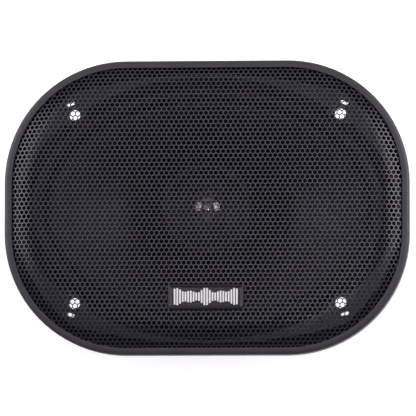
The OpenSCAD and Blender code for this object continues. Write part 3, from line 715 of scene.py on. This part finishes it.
# The maker of each slot's material, and the values that it gets. The black parts under the grille are made
# darker than their own colour: painted shade.
FINISHES = {
    "trim_plastic": (moulded_plastic, (0.042, 0.038, 0.049), 0.44, 0.45, 0.3, 0.015),
    # painted shade: the base ring's black is darkened further to stand in for the shade under the grille
    "base_plastic": (moulded_plastic, (0.007, 0.006, 0.008), 0.6, 0.14),
    "mesh_steel": (powder_coat, (0.047, 0.044, 0.059), 0.3, 0.5),
    "badge_metal": (badge_finish, (0.025, 0.023, 0.028)),
    "emblem_enamel": (enamel, (0.88, 0.88, 0.88)),
    "zinc_steel": (plated_steel, (0.60, 0.60, 0.61)),
    "foam_gasket": (foam, (0.035, 0.034, 0.036), 0.6),
    # painted shade: the fibre gasket's black is darkened further to stand in for the shade under the grille
    "fibre_gasket": (fibre_board, (0.010, 0.009, 0.011)),
    # painted shade: the basket's black paint is darkened further to stand in for the shade under the grille
    "basket_steel": (powder_coat, (0.012, 0.011, 0.013), 0.38, 0.35),
    # painted shade: the surround's black rubber is darkened further to stand in for the shade under the
    # grille
    "surround_rubber": (rubber, (0.009, 0.008, 0.010), 0.5),
    # painted shade: the cone's black is darkened further to stand in for the shade under the grille
    "cone_fibre": (cone_finish, (0.009, 0.008, 0.010)),
    "glue": (glue_bead,),
    "filter_foam": (foam, (0.025, 0.025, 0.026), 0.9),
    "coil_former": (coil_foil,),
    "copper": (copper_winding, 0.34),
    "spider_cloth": (woven_cloth, (0.20, 0.10, 0.03), (0.62, 0.40, 0.15), 0.55),
    "plated_steel": (plated_steel, (0.58, 0.585, 0.60), 0.34),
    "ferrite": (ferrite, (0.048, 0.048, 0.052)),
    "boot_rubber": (rubber, (0.026, 0.026, 0.028)),
    # painted shade: the tweeter's black plastic is darkened further to stand in for the shade under the
    # grille
    "tweeter_plastic": (moulded_plastic, (0.007, 0.006, 0.007), 0.45, 0.22, 0.25, 0.012),
    "magnet_nickel": (plated_steel, (0.70, 0.68, 0.64), 0.18),
    "felt": (wool_felt, (0.78, 0.76, 0.68)),
    "dome_metal": (dome_finish, (0.26, 0.24, 0.27)),
    "dome_surround": (woven_cloth, (0.014, 0.013, 0.015), (0.05, 0.047, 0.052), 0.3, 0.7, 0.1),
    "phenolic": (phenolic_board, (0.20, 0.095, 0.04)),
    "tinned_brass": (tinned_brass, (0.78, 0.64, 0.34)),
    "tinsel": (braid, (0.75, 0.40, 0.20), (0.12, 0.07, 0.04)),
    "capacitor_sleeve": (shrink_sleeve, (0.03, 0.08, 0.26)),
    "red_insulation": (wire_jacket, (0.50, 0.03, 0.02)),
    "black_insulation": (wire_jacket, (0.022, 0.022, 0.024)),
}
finishes = {slot: make(slot, *values) for slot, (make, *values) in FINISHES.items()}


def paint(obj, slot):
    obj.data.materials.clear()
    obj.data.materials.append(finishes[slot])


def place(obj, body, slot, *replaced):
    """Paints a new piece, sets it riding and hides the CAD nodes that it stands for."""
    paint(obj, slot)
    if body:
        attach(obj, body)
    if replaced:
        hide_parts(*replaced)
    return obj


def place_softened(node, body, width, segments=2):
    """Shows a CAD node with rounded edges, in the node's own material."""
    place(softened(node, width, segments), body, slot_of[node], node)


for node_name, node_object in nodes.items():
    paint(node_object, slot_of[node_name])

# ---- Grille ----


def sheet_height(inset):
    """Top face of the perforated sheet: flat rim, curved shoulder, flat crown."""
    crown = SHOULDER_START + SHOULDER_RUN
    across = crown - min(max(inset, SHOULDER_START), crown)
    centre = CROWN_Z - SHOULDER_R
    return centre + math.sqrt(SHOULDER_R ** 2 - across ** 2) - 0.05


def formed_inset(blank_inset):
    """Where a point of the flat blank lies once the shoulder is formed, as an inset from the outline."""
    crown = SHOULDER_START + SHOULDER_RUN
    reach = crown - blank_inset
    if reach <= 0:
        return blank_inset
    arc_length = SHOULDER_R * SHOULDER_SLOPE
    if reach <= arc_length:
        return crown - SHOULDER_R * math.sin(reach / SHOULDER_R)
    return max(SHOULDER_START - (reach - arc_length), SHEET_EDGE)


def formed(x, y):
    """Moves a point of the flat blank to its place on the formed sheet, seen from above."""
    inset = inset_of(x, y)
    step = 0.01
    gx = (inset_of(x + step, y) - inset_of(x - step, y)) / (2 * step)
    gy = (inset_of(x, y + step) - inset_of(x, y - step)) / (2 * step)
    move = formed_inset(inset) - inset
    return x + gx * move, y + gy * move


def perforated_sheet():
    """Hexagonal holes in staggered rows: each hole's cell shares its corners with its neighbours."""
    cell_r = HOLE_PITCH / math.sqrt(3)
    hole_r = HOLE_WIDTH / math.sqrt(3)
    row_step = HOLE_PITCH * math.sqrt(3) / 2
    rows = int(GRILLE_H / 2 / row_step) + 2
    columns = int(GRILLE_W / 2 / HOLE_PITCH) + 2
    turns = [math.pi / 6 + k * math.pi / 3 for k in range(6)]
    spokes = [(math.cos(a), math.sin(a)) for a in turns]
    verts, faces, shared, edges = [], [], {}, {}

    def add_pair(x, y):
        x, y = formed(x, y)
        z = sheet_height(inset_of(x, y))
        verts.append((x, y, z))
        verts.append((x, y, z - SHEET_T))
        return len(verts) - 2

    for row in range(-rows, rows + 1):
        for column in range(-columns, columns + 1):
            cx = (column + 0.5 * (row % 2)) * HOLE_PITCH
            cy = row * row_step
            rim = [(cx + cell_r * c, cy + cell_r * s) for c, s in spokes]
            if max(formed_inset(inset_of(x, y)) for x, y in rim) < SHEET_EDGE + 0.05:
                continue
            corners = []
            for x, y in rim:
                key = (round(x / HOLE_PITCH * 2), round(y / cell_r * 2))
                if key not in shared:
                    shared[key] = add_pair(x, y)
                corners.append(shared[key])
            for k in range(6):
                edge = (corners[k], corners[(k + 1) % 6])
                if edge[::-1] in edges:
                    del edges[edge[::-1]]
                else:
                    edges[edge] = True
            if formed_inset(inset_of(cx, cy)) < SHEET_EDGE + hole_r + 0.3:
                faces.append(tuple(corners))
                faces.append(tuple(c + 1 for c in reversed(corners)))
                continue
            hole = [add_pair(cx + hole_r * c, cy + hole_r * s) for c, s in spokes]
            for k in range(6):
                n = (k + 1) % 6
                faces.append((corners[k], corners[n], hole[n], hole[k]))
                faces.append((corners[n] + 1, corners[k] + 1, hole[k] + 1, hole[n] + 1))
                faces.append((hole[k], hole[n], hole[n] + 1, hole[k] + 1))
    faces.extend((b, a, a + 1, b + 1) for a, b in edges)
    return from_faces("perforated_sheet", verts, faces, 30)


def trim_ring():
    """Swept ring with rounded edges, and the ribs inside that hold it in the base ring."""
    profile = rounded([
        (0, RING_BOTTOM, 0.5), (RING_WALL, RING_BOTTOM, 0.5), (RING_WALL, SEAT_Z, 0.3),
        (RING_BAND, SEAT_Z, 0.3), (RING_BAND, RING_TOP, 0.4), (3.6, RING_TOP, 0.5),
        (2.2, RING_TOP - 0.14, 0.6), (1.0, RING_TOP - 0.42, 0.6), (0, RING_TOP - 1.4, 0.8)
    ], 4)
    parts = [loft("trim_ring", [outline(u, z) for u, z in profile])]
    rib_low, rib_high = 2.8, SEAT_Z - SHEET_T - 0.1
    rib_middle = RING_WALL + 0.75
    middle_z = (rib_low + rib_high) / 2
    size = (12, 2.5, rib_high - rib_low)
    straight_x, straight_y = GRILLE_W / 2 - GRILLE_R, GRILLE_H / 2 - GRILLE_R
    for side in (1, -1):
        for x in (-35, 35):
            parts.append(block("rib", (x, side * (GRILLE_H / 2 - rib_middle), middle_z), size))
        for end in (1, -1):
            reach = (GRILLE_R - rib_middle) / math.sqrt(2)
            centre = (end * (straight_x + reach), side * (straight_y + reach), middle_z)
            parts.append(block("rib", centre, size, -side * end * math.pi / 4))
    return join("trim_ring", parts)


def badge_plate():
    """A plate with a rolled frame round a shallow recess, and its two pins."""
    base = CROWN_Z
    levels = [
        (0, 0.02), (0, 1.3), (0.12, 1.75), (0.4, 2.05), (0.8, BADGE_T - 0.02), (1.2, BADGE_T - 0.05),
        (1.5, BADGE_T - 0.25), (1.75, BADGE_T - 0.45), (2.2, BADGE_T - 0.5)
    ]
    loops = [
        rounded_rectangle(BADGE_W - 2 * u, BADGE_H - 2 * u, max(0.5, 2.2 - u), base + z, 8, BADGE_Y)
        for u, z in levels
    ]
    plate_part = loft("badge_plate", loops, closed=False, smooth_deg=50)
    with edited(plate_part.data) as bm:
        boundary = [e for e in bm.edges if e.is_boundary]
        bmesh.ops.holes_fill(bm, edges=boundary, sides=len(loops[0]))
    parts = [plate_part]
    pin = [(0, -2.6), (0.75, -2.6), (1, -2.3), (1, 0.5), (0, 0.5)]
    for side in (1, -1):
        centre = (side * 0.4 * BADGE_W, BADGE_Y)
        loops = [circle(r, r, base + z, 24, centre) for r, z in pin]
        parts.append(loft("pin", loops, closed=False))
    return join("badge_plate", parts)


def emblem():
    """A generic sound wave of upright bars."""
    bars = []
    pitch = 0.86 * BADGE_W / BADGE_BARS
    floor = CROWN_Z + BADGE_T - 0.52
    for i in range(BADGE_BARS):
        x = (i - (BADGE_BARS - 1) / 2) * pitch
        swell = 0.66 + 0.34 * math.cos(math.radians(9 * x)) * math.cos(math.radians(31 * x))
        height = 0.7 * BADGE_H * swell
        bars.append(block("bar", (x, BADGE_Y, floor + 0.35), (0.66 * pitch, height, 0.7), 0, 0.15))
    return join("emblem", bars)


place(perforated_sheet(), "grille", "mesh_steel", "grille_mesh")
place(trim_ring(), "grille", "trim_plastic", "grille_ring")
place(badge_plate(), "grille", "badge_metal", "badge")
place(emblem(), "grille", "emblem_enamel", "badge_emblem")
place_softened("badge_push_nuts", "grille", 0.12)

# ---- Base ring, gaskets ----

place_softened("base_ring", "root", 0.35)
place_softened("front_gasket", "root", 0.3)

# ---- Basket ----


def flange_edge(count=240):
    """The flange's outline: arcs of radius 90 at the ends and 316 along the sides."""
    end_r, end_x, side_r, side_y = 90, 27.5, 316, 234
    points = []
    for i in range(count):
        a = TURN * i / count
        c, s = abs(math.cos(a)), abs(math.sin(a))
        to_end = c * end_x + math.sqrt((c * end_x) ** 2 - end_x ** 2 + end_r ** 2)
        to_side = -s * side_y + math.sqrt((s * side_y) ** 2 - side_y ** 2 + side_r ** 2)
        reach = min(to_end, to_side)
        points.append((reach * math.cos(a), reach * math.sin(a)))
    return points


def slot_outline(mount_x, mount_y):
    """The slot outboard of a mounting hole, turned to follow the flange's edge."""
    centre_x = mount_x + math.copysign(SLOT_OFFSET[0], mount_x)
    centre_y = mount_y + math.copysign(SLOT_OFFSET[1], mount_y)
    turn = -math.copysign(SLOT_TURN, mount_x * mount_y)
    reach, r = (SLOT_L - SLOT_W) / 2, SLOT_W / 2
    points = []
    for side in (1, -1):
        for i in range(9):
            a = math.pi * (i / 8 - side / 2)
            x, y = side * reach + r * math.cos(a), r * math.sin(a)
            points.append((
                centre_x + x * math.cos(turn) - y * math.sin(turn),
                centre_y + x * math.sin(turn) + y * math.cos(turn)
            ))
    return points


def at_mounts():
    return [(x * MOUNT_X, y * MOUNT_Y) for x in (1, -1) for y in (1, -1)]


def flange_plate():
    holes = [[p[:2] for p in circle(106.9, 73.5, 0, OVAL_STEPS)]]
    for x, y in at_mounts():
        holes.append([p[:2] for p in circle(MOUNT_R, MOUNT_R, 0, 32, (x, y))])
        holes.append(slot_outline(x, y))
    parts = [plate("flange", flange_edge(), holes, FLANGE_Z, FLANGE_Z + STEEL_T)]
    collar = rounded([
        (MOUNT_R, FLANGE_Z + 0.2, 0), (5, FLANGE_Z + 0.2, 0), (5, 5.1, 0.3), (MOUNT_R, 5.1, 0.2)
    ])
    for x, y in at_mounts():
        parts.append(loft("collar", [circle(r, r, z, 48, (x, y)) for r, z in collar]))
    return parts


def arm_columns(a, b, window_steps=10):
    """Angles round an oval: fixed distances from each arm's centre line, then even steps to the next."""
    offsets = [-9, -6.2, -3.4, -1.7, 0, 1.7, 3.4, 6.2, 9]
    columns = []
    for index, degrees in enumerate(ARM_ANGLES):
        def angle(offset, at):
            phi = math.radians(at)
            turn = math.atan2(a * math.sin(phi), b * math.cos(phi)) % TURN
            return turn + math.asin(offset / math.hypot(b * math.cos(phi), a * math.sin(phi)))
        columns.extend((angle(w, degrees), w) for w in offsets)
        last = angle(ARM_HALF, degrees)
        following = angle(-ARM_HALF, ARM_ANGLES[(index + 1) % 6]) % TURN
        if following < last:
            following += TURN
        for k in range(1, window_steps):
            columns.append((last + (following - last) * k / window_steps, None))
    return columns


def basket_wall():
    """Stamped wall: six windows between arms, each arm stiffened by a raised bead."""
    heights = [4.4, 3.2, 0.5, -3.2, -5, -8.5, -13, -18, -23, -27.5, -31, -33.6, -35.6, -36.8]
    z_known = [s[2] for s in reversed(BASKET_SECTIONS)]
    a_known = [s[0] for s in reversed(BASKET_SECTIONS)]
    b_known = [s[1] for s in reversed(BASKET_SECTIONS)]
    half_t = 0.7
    verts, faces, kinds = [], [], []
    for z in heights:
        a = np.interp(z, z_known, a_known) - half_t
        b = np.interp(z, z_known, b_known) - half_t
        columns = arm_columns(a, b)
        kinds = [w for _, w in columns]
        bead = min(1, max(0, min(WINDOW_HIGH + 1 - z, z - WINDOW_LOW + 1) / 4))
        for t, w in columns:
            raised = 1.1 * bead if w is not None and abs(w) < 2 else 0
            x, y = a * math.cos(t), b * math.sin(t)
            out = math.hypot(x, y)
            verts.append((x * (1 + raised / out), y * (1 + raised / out), z))
    count = len(kinds)
    for row in range(len(heights) - 1):
        in_window = heights[row] <= WINDOW_HIGH and heights[row + 1] >= WINDOW_LOW
        for i, face in band(row, row + 1, count):
            open_here = kinds[i] is None or kinds[(i + 1) % count] is None
            if not (in_window and open_here):
                faces.append(face)
    wall = from_faces("wall", verts, faces, 50)
    thicken(wall, 2 * half_t)
    return wall


def thicken(obj, thickness):
    solid = obj.modifiers.new("solid", "SOLIDIFY")
    solid.thickness = thickness * MM
    solid.offset = 0
    solid.use_even_offset = True
    rounder = obj.modifiers.new("rounder", "SUBSURF")
    rounder.levels = 1
    rounder.render_levels = 1


def basket_cup():
    """Landing for the spider, vented cup and floor."""
    wall_r, vent_high, vent_low, floor_z = 46.1, -38.9, -44.1, -47.4
    sections = [(r, LANDING_Z - 0.6) for r in (54.9, 53, 50, 47.4)]
    sections.extend([
        (46.3, -37.1), (wall_r, vent_high), (wall_r, -41.5), (wall_r, vent_low), (wall_r, -46.6)
    ])
    sections.extend((r, floor_z) for r in (45.4, 43, 34, 26, 22.5, 21))
    vents = 8
    spacing = 360 / vents
    vent_half = math.degrees(math.asin(7 / wall_r))
    gap = spacing - 2 * vent_half
    angles = []
    for i in range(vents):
        centre = spacing * (i + 0.5)
        angles.extend((centre + vent_half * k / 3, k < 3) for k in range(-3, 4))
        angles.extend((centre + vent_half + gap * k / 6, False) for k in range(1, 6))
    verts = [
        (r * math.cos(math.radians(a)), r * math.sin(math.radians(a)), z)
        for r, z in sections for a, _ in angles
    ]
    count = len(angles)
    faces = []
    for row in range(len(sections) - 1):
        vent_row = vent_high >= sections[row][1] and sections[row + 1][1] >= vent_low
        for i, face in band(row, row + 1, count):
            if not (vent_row and angles[i][1]):
                faces.append(face)
    cup = from_faces("cup", verts, faces, 50)
    thicken(cup, 1.2)
    return cup


def make_basket():
    bracket = block("bracket", (0, -54.65, LANDING_Z - STEEL_T / 2), (30, 16.7, STEEL_T), 0, 0.25)
    return join("basket_frame", [*flange_plate(), basket_wall(), basket_cup(), bracket])


place(make_basket(), "root", "basket_steel", "basket")
place_softened("basket_rivets", "root", 0.3)

# ---- Surround, cone and spider ----


def make_surround():
    """Half-roll surround: outer rim on the flange, inner rim on the cone."""
    arc = 20
    top, bottom = [], []
    rim_top = RIM_Z + RIM_T
    edge = [(ROLL_A + 2.3, ROLL_B + 2.3, 0), (ROLL_A + 1.2, ROLL_B + 1.2, 0)]
    for i in range(arc + 1):
        t = (1 - math.cos(math.pi * i / arc)) / 2
        lift = ROLL_W / 2 * math.sin(math.pi * i / arc)
        edge.append((ROLL_A + (ROLL_IN_A - ROLL_A) * t, ROLL_B + (ROLL_IN_B - ROLL_B) * t, lift))
    edge.extend([(ROLL_IN_A - 1.5, ROLL_IN_B - 1.5, 0), (ROLL_IN_A - 3, ROLL_IN_B - 3, 0)])
    for a, b, lift in edge:
        top.append(circle(a, b, rim_top + lift, OVAL_STEPS))
    centre_a, centre_b = (ROLL_A + ROLL_IN_A) / 2, (ROLL_B + ROLL_IN_B) / 2
    for a, b, lift in reversed(edge):
        shrink = 1 - RIM_T / (ROLL_W / 2) if lift > 0.01 else 1
        bottom.append(circle(
            centre_a + (a - centre_a) * shrink, centre_b + (b - centre_b) * shrink,
            RIM_Z + (lift * shrink + RIM_T * 0.1 if lift > 0.01 else 0), OVAL_STEPS
        ))
    piece = loft("surround_roll", top + bottom, smooth_deg=60)
    clear = 5.25
    for v in piece.data.vertices:
        for x, y in at_mounts():
            away = Vector((v.co.x / MM - x, v.co.y / MM - y))
            if away.length < clear:
                away = away.normalized() * clear
                v.co.x, v.co.y = (x + away.x) * MM, (y + away.y) * MM
    return piece


def surround_share(p):
    """0 on the outer rim, 1 on the inner rim."""
    reach = math.hypot(p.x / ROLL_A, p.y / ROLL_B)
    inner = math.hypot(p.x / ROLL_IN_A, p.y / ROLL_IN_B)
    if reach >= 1:
        return 0.0
    if inner <= 1:
        return 1.0
    return (1 - reach) / ((1 - reach) + (inner - 1))


def cone_section(t, drop=0.0):
    """Front face of the cone at share t of the way from its rim to its neck."""
    ribs = 0.25 * math.cos(TURN * t / 0.05) * min(1, t / 0.02) if t < 0.15 else 0
    return (
        CONE_RIM_A + (CONE_NECK_R - CONE_RIM_A) * t,
        CONE_RIM_B + (CONE_NECK_R - CONE_RIM_B) * t,
        CONE_TOP - CONE_DEPTH * t ** CONE_CURVE - drop - abs(ribs)
    )


def make_cone():
    front = [(CONE_RIM_A + 4, CONE_RIM_B + 4, CONE_TOP), (CONE_RIM_A + 2, CONE_RIM_B + 2, CONE_TOP)]
    front.extend(cone_section((i / 60) ** 1.3) for i in range(61))
    rear = [(a, b, z - CONE_T) for a, b, z in reversed(front)]
    return loft("cone_body", [circle(a, b, z, OVAL_STEPS) for a, b, z in front + rear], smooth_deg=50)


def make_spider():
    """Corrugated suspension from the coil former to the basket's landing."""
    waves, wave_h, thickness = 5, 1.2, 0.5
    inner, outer, foot = 22, 45, 50.6
    level = LANDING_Z + 0.6 + thickness
    top = [(18.95, level)]
    count = waves * 14
    for i in range(count + 1):
        top.append((inner + (outer - inner) * i / count, level + wave_h * math.sin(TURN * waves * i / count)))
    top.extend([(47.5, level), (48.6, level - 0.3), (foot, LANDING_Z + 0.55)])
    bottom = [(r, z - thickness) for r, z in reversed(top)]
    return lathe("spider_disc", top + bottom, 144, 60)


place_softened("rear_gasket", "root", 0.2)
surround = place(make_surround(), None, "surround_rubber", "surround")
blend_across(surround, surround_share)
place(make_cone(), "cone_assembly", "cone_fibre", "cone")
spider = place(make_spider(), None, "spider_cloth", "spider")
blend_across(spider, lambda p: linear_share(p.xy.length, 45, 22))

# ---- Motor ----

for node_name, edge in [
    ("top_plate", 0.4), ("magnet", 0.6), ("back_plate", 0.4), ("magnet_boot", 0.5),
    ("post_washer", 0.15), ("post_nut", 0.3), ("tweeter_post", 0.3)
]:
    place_softened(node_name, "root", edge, 3)

# ---- Tweeter ----


def make_housing():
    profile = rounded([
        (2.8, -6.35, 0), (9, -6.35, 0.6), (14, -3.4, 1.5), (23, 1, 2.5), (TWEETER_R, 6.5, 2),
        (TWEETER_R, 10.5, 0.1), (TWEETER_R - 1.6, 10.5, 0.1), (TWEETER_R - 1.6, 7.2, 1),
        (21.8, 2.6, 1), (13.4, -1, 0.4), (11.8, -1, 0), (11.8, -3.4, 0.2), (2.8, -3.4, 0)
    ], 5)
    return lathe("tweeter_cup", profile)


def make_bezel():
    """Outer rim, dished waveguide with two steps and the raised ring round the dome."""
    profile = rounded([
        (TWEETER_R, 10.6, 0), (TWEETER_R, 11.6, 0.4), (26.3, TWEETER_TOP, 0.4), (24.2, TWEETER_TOP, 0.5),
        (23.2, 11.1, 0.4), (22.6, 11.0, 0.3), (20.8, 9.7, 0.4), (20.2, 9.55, 0.3), (16, 8.2, 1),
        (15, 8.2, 0.1), (15, 9.2, 0.4), (13.4, 9.2, 0.4), (13.4, 7.4, 0.1), (12.2, 7, 0.1),
        (12.2, 6.6, 0), (17, 6.6, 0.3), (20.4, 7.8, 0.3), (23.6, 9.6, 0.3), (24.9, 10.6, 0)
    ], 4)
    return lathe("tweeter_face", profile)


def make_dome():
    ball_r = (DOME_R ** 2 + DOME_RISE ** 2) / (2 * DOME_RISE)
    reach = math.asin(DOME_R / ball_r)
    steps = 28
    outside = []
    for i in range(steps + 1):
        a = reach * i / steps
        outside.append((ball_r * math.sin(a), DOME_BASE + DOME_RISE - ball_r * (1 - math.cos(a))))
    inside = [(r, z - 0.3) for r, z in reversed(outside)]
    return lathe("tweeter_dome_cap", outside + inside, 96, 50)


def make_dome_edge():
    """The small roll between the dome and its frame."""
    inner, outer, steps = DOME_R + 0.1, DOME_R + 2.4, 10
    top = [(inner, DOME_BASE - 0.3), (inner, DOME_BASE)]
    for i in range(1, steps + 1):
        a = math.pi * i / steps
        r = inner + (outer - inner) * (1 - math.cos(a)) / 2
        top.append((r, DOME_BASE + 0.75 * math.sin(a) + 0.02 * i))
    top.append((13.2, DOME_BASE + 0.2))
    bottom = [(13.2, DOME_BASE - 0.1), (DOME_R + 2.2, DOME_BASE - 0.1)]
    bottom.extend([(DOME_R + 1.6, DOME_BASE + 0.45), (DOME_R + 0.9, DOME_BASE + 0.45)])
    bottom.append((DOME_R + 0.4, DOME_BASE - 0.3))
    return lathe("tweeter_dome_edge", top + bottom, 96, 60)


place(make_housing(), "root", "tweeter_plastic", "tweeter_housing")
place(make_bezel(), "root", "tweeter_plastic", "tweeter_bezel")
place(make_dome(), "tweeter_diaphragm", "dome_metal", "tweeter_dome")
dome_edge = place(make_dome_edge(), None, "dome_surround", "tweeter_surround")
blend_across(
    dome_edge, lambda p: linear_share(p.xy.length, DOME_R + 2.4, DOME_R + 0.1)
)

# ---- Terminals and wiring ----

TINSEL_ROUTE = [
    (10, -68, -36.6), (10, -68, -34.8), (10.4, -67.4, -32.8), (11.2, -65.6, -31),
    (12.2, -63, -29.6), (12.9, -60, -28.8), (13.2, -56.5, -28.5), (13.2, -53, -28.6),
    (12.9, -49.5, -28.8), (12.4, -46, -28.9), (11.7, -42.5, -28.7), (10.9, -39, -28.1),
    (10.1, -36, -27.2), (9.3, -33.2, -26.1), (8.4, -30.5, -24.8)
]
TWEETER_ROUTE = [
    (0, 0, -2.8), (0, 0, -20), (0, 0, -40), (0, 0, -60), (0, 0, -71.5),
    (0, -0.7, -74.1), (0, -2.5, -75.6), (0, -5, -76.1), (0, -20, -76.1), (0, -35, -76.1),
    (0, -46, -76.1), (0, -48.6, -75.4), (0, -50.5, -73.4), (0, -51.3, -70.8),
    (0, -51.3, -62), (0, -51.3, -51)
]
CAPACITOR_ROUTE = [
    (-1.2, -51.7, -49), (-2.4, -52.7, -47.4), (-4.6, -54, -46), (-7, -55.6, -45),
    (-8.8, -57.4, -44.2), (-9.6, -59.2, -43.6), (-9.4, -60.4, -43.2)
]
POSITIVE_TAIL = [
    (9.3, -60.5, -43.1), (11.1, -61, -42.9), (13, -62.4, -42.3), (14.2, -64.4, -41.7),
    (14.4, -66.4, -41.2), (13.4, -68, -40.9), (11.8, -68.5, -40.9), (10.2, -68.4, -40.9)
]
NEGATIVE_TAIL = [
    (1.1, -52.2, -49.4), (0.8, -54.4, -48.9), (0, -57.2, -48.7), (-1.6, -60.2, -48.7),
    (-3.8, -63.1, -48.3), (-6.2, -65.7, -46.9), (-8.4, -67.4, -44.6), (-10, -68.2, -42),
    (-10.2, -68.3, -40.3)
]
TINSEL_R, WIRE_R, WIRE_X = 0.85, 0.6, 1.1


def shifted(route, dx):
    return [(x + dx, y, z) for x, y, z in route]


def make_capacitor():
    """Shrink-sleeved body with rolled ends, and its two wires."""
    sleeve = rounded([
        (0.4, -7, 0), (2.6, -7, 0.3), (3.3, -6.7, 0.3), (4, -6, 0.8), (3.7, -5, 0.4), (4, -4, 0.8),
        (4, 6, 0.8), (3.3, 6.7, 0.3), (2.6, 7, 0.3), (0.4, 7, 0)
    ], 4)
    wires = rounded([(0.02, -8.8, 0), (0.4, -8.8, 0.1), (0.4, 8.8, 0.1), (0.02, 8.8, 0)])
    parts = [lathe("sleeve", sleeve, 48), lathe("pins", wires, 16)]
    low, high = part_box("capacitor")
    centre = (low + high) / 2
    for part in parts:
        for v in part.data.vertices:
            v.co = (v.co.z + centre.x, v.co.y + centre.y, -v.co.x + centre.z)
    return join("capacitor_body", parts)


for side, label in ((1, "positive"), (-1, "negative")):
    route = [(side * x, y, z) for x, y, z in TINSEL_ROUTE]
    lead = place(
        tube("tinsel_" + label, route, TINSEL_R), None, "tinsel", "tinsel_lead_" + label
    )
    blend_across(lead, lambda p: linear_share(p.y, -66, -31.5))

positive_wire = join("tweeter_wire_positive", [
    tube("run", shifted(TWEETER_ROUTE, -WIRE_X) + CAPACITOR_ROUTE, WIRE_R),
    tube("tail", POSITIVE_TAIL, WIRE_R)
])
negative_wire = tube("tweeter_wire_negative", shifted(TWEETER_ROUTE, WIRE_X) + NEGATIVE_TAIL, WIRE_R)
place(positive_wire, "root", "red_insulation", "tweeter_lead_positive")
place(negative_wire, "root", "black_insulation", "tweeter_lead_negative")
place(make_capacitor(), "root", "capacitor_sleeve", "capacitor")
for node_name, edge in [
    ("terminal_board", 0.2), ("board_rivets", 0.3), ("positive_tab", 0.12), ("negative_tab", 0.12),
    ("tab_rivets", 0.15)
]:
    place_softened(node_name, "root", edge)

# ---- Floor, light and background ----


def make_floor():
    """Pale, faintly glowing table top under the magnet."""
    size = 6000
    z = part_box("magnet_boot")[0].z / MM - 0.3
    corners = [(-size, -size, z), (size, -size, z), (size, size, z), (-size, size, z)]
    floor = from_faces("floor", corners, [(0, 1, 2, 3)])
    f = Finish("floor_paper", 0.9, specular=0.1)
    f.colour(f.noise(40, 4), (0.86, 0.86, 0.86), (0.90, 0.90, 0.90))
    f.bump(f.noise(1.2, 3), 0.03, 0.3)
    f.shader.inputs["Emission Color"].default_value = (1, 1, 1, 1)
    f.shader.inputs["Emission Strength"].default_value = FLOOR_GLOW
    floor.data.materials.append(f.material)


def softbox(name, location, target, width, height, power):
    data = bpy.data.lights.new(name, "AREA")
    data.shape = "RECTANGLE"
    data.size = width
    data.size_y = height
    data.energy = power
    data.color = LIGHT_TINT
    lamp = linked(name, data)
    lamp.location = location
    lamp.rotation_euler = (Vector(target) - Vector(location)).to_track_quat("-Z", "Y").to_euler()


def make_lights():
    softbox("light_left", (-0.95, 0.28, 0.62), (0, 0, 0), 0.8, 0.9, 9)
    softbox("light_right", (0.95, 0.28, 0.62), (0, 0, 0), 0.8, 0.9, 11)
    softbox("light_top", (0, 1.1, 0.9), (0, 0, 0), 1.2, 0.5, 1.4)
    softbox("light_above", (0, 0.35, 1.6), (0, 0, 0), 1.0, 1.0, 2.2)
    softbox("light_spark", (0.1, -0.1, 1.5), (0, 0, 0), 0.1, 0.1, 1.1)
    world = bpy.data.worlds.new("studio")
    scene.world = world
    world.use_nodes = True
    background = world.node_tree.nodes["Background"]
    background.inputs["Color"].default_value = (1, 1, 1, 1)
    background.inputs["Strength"].default_value = WORLD_STRENGTH


make_floor()
make_lights()
scene.view_settings.view_transform = "Standard"
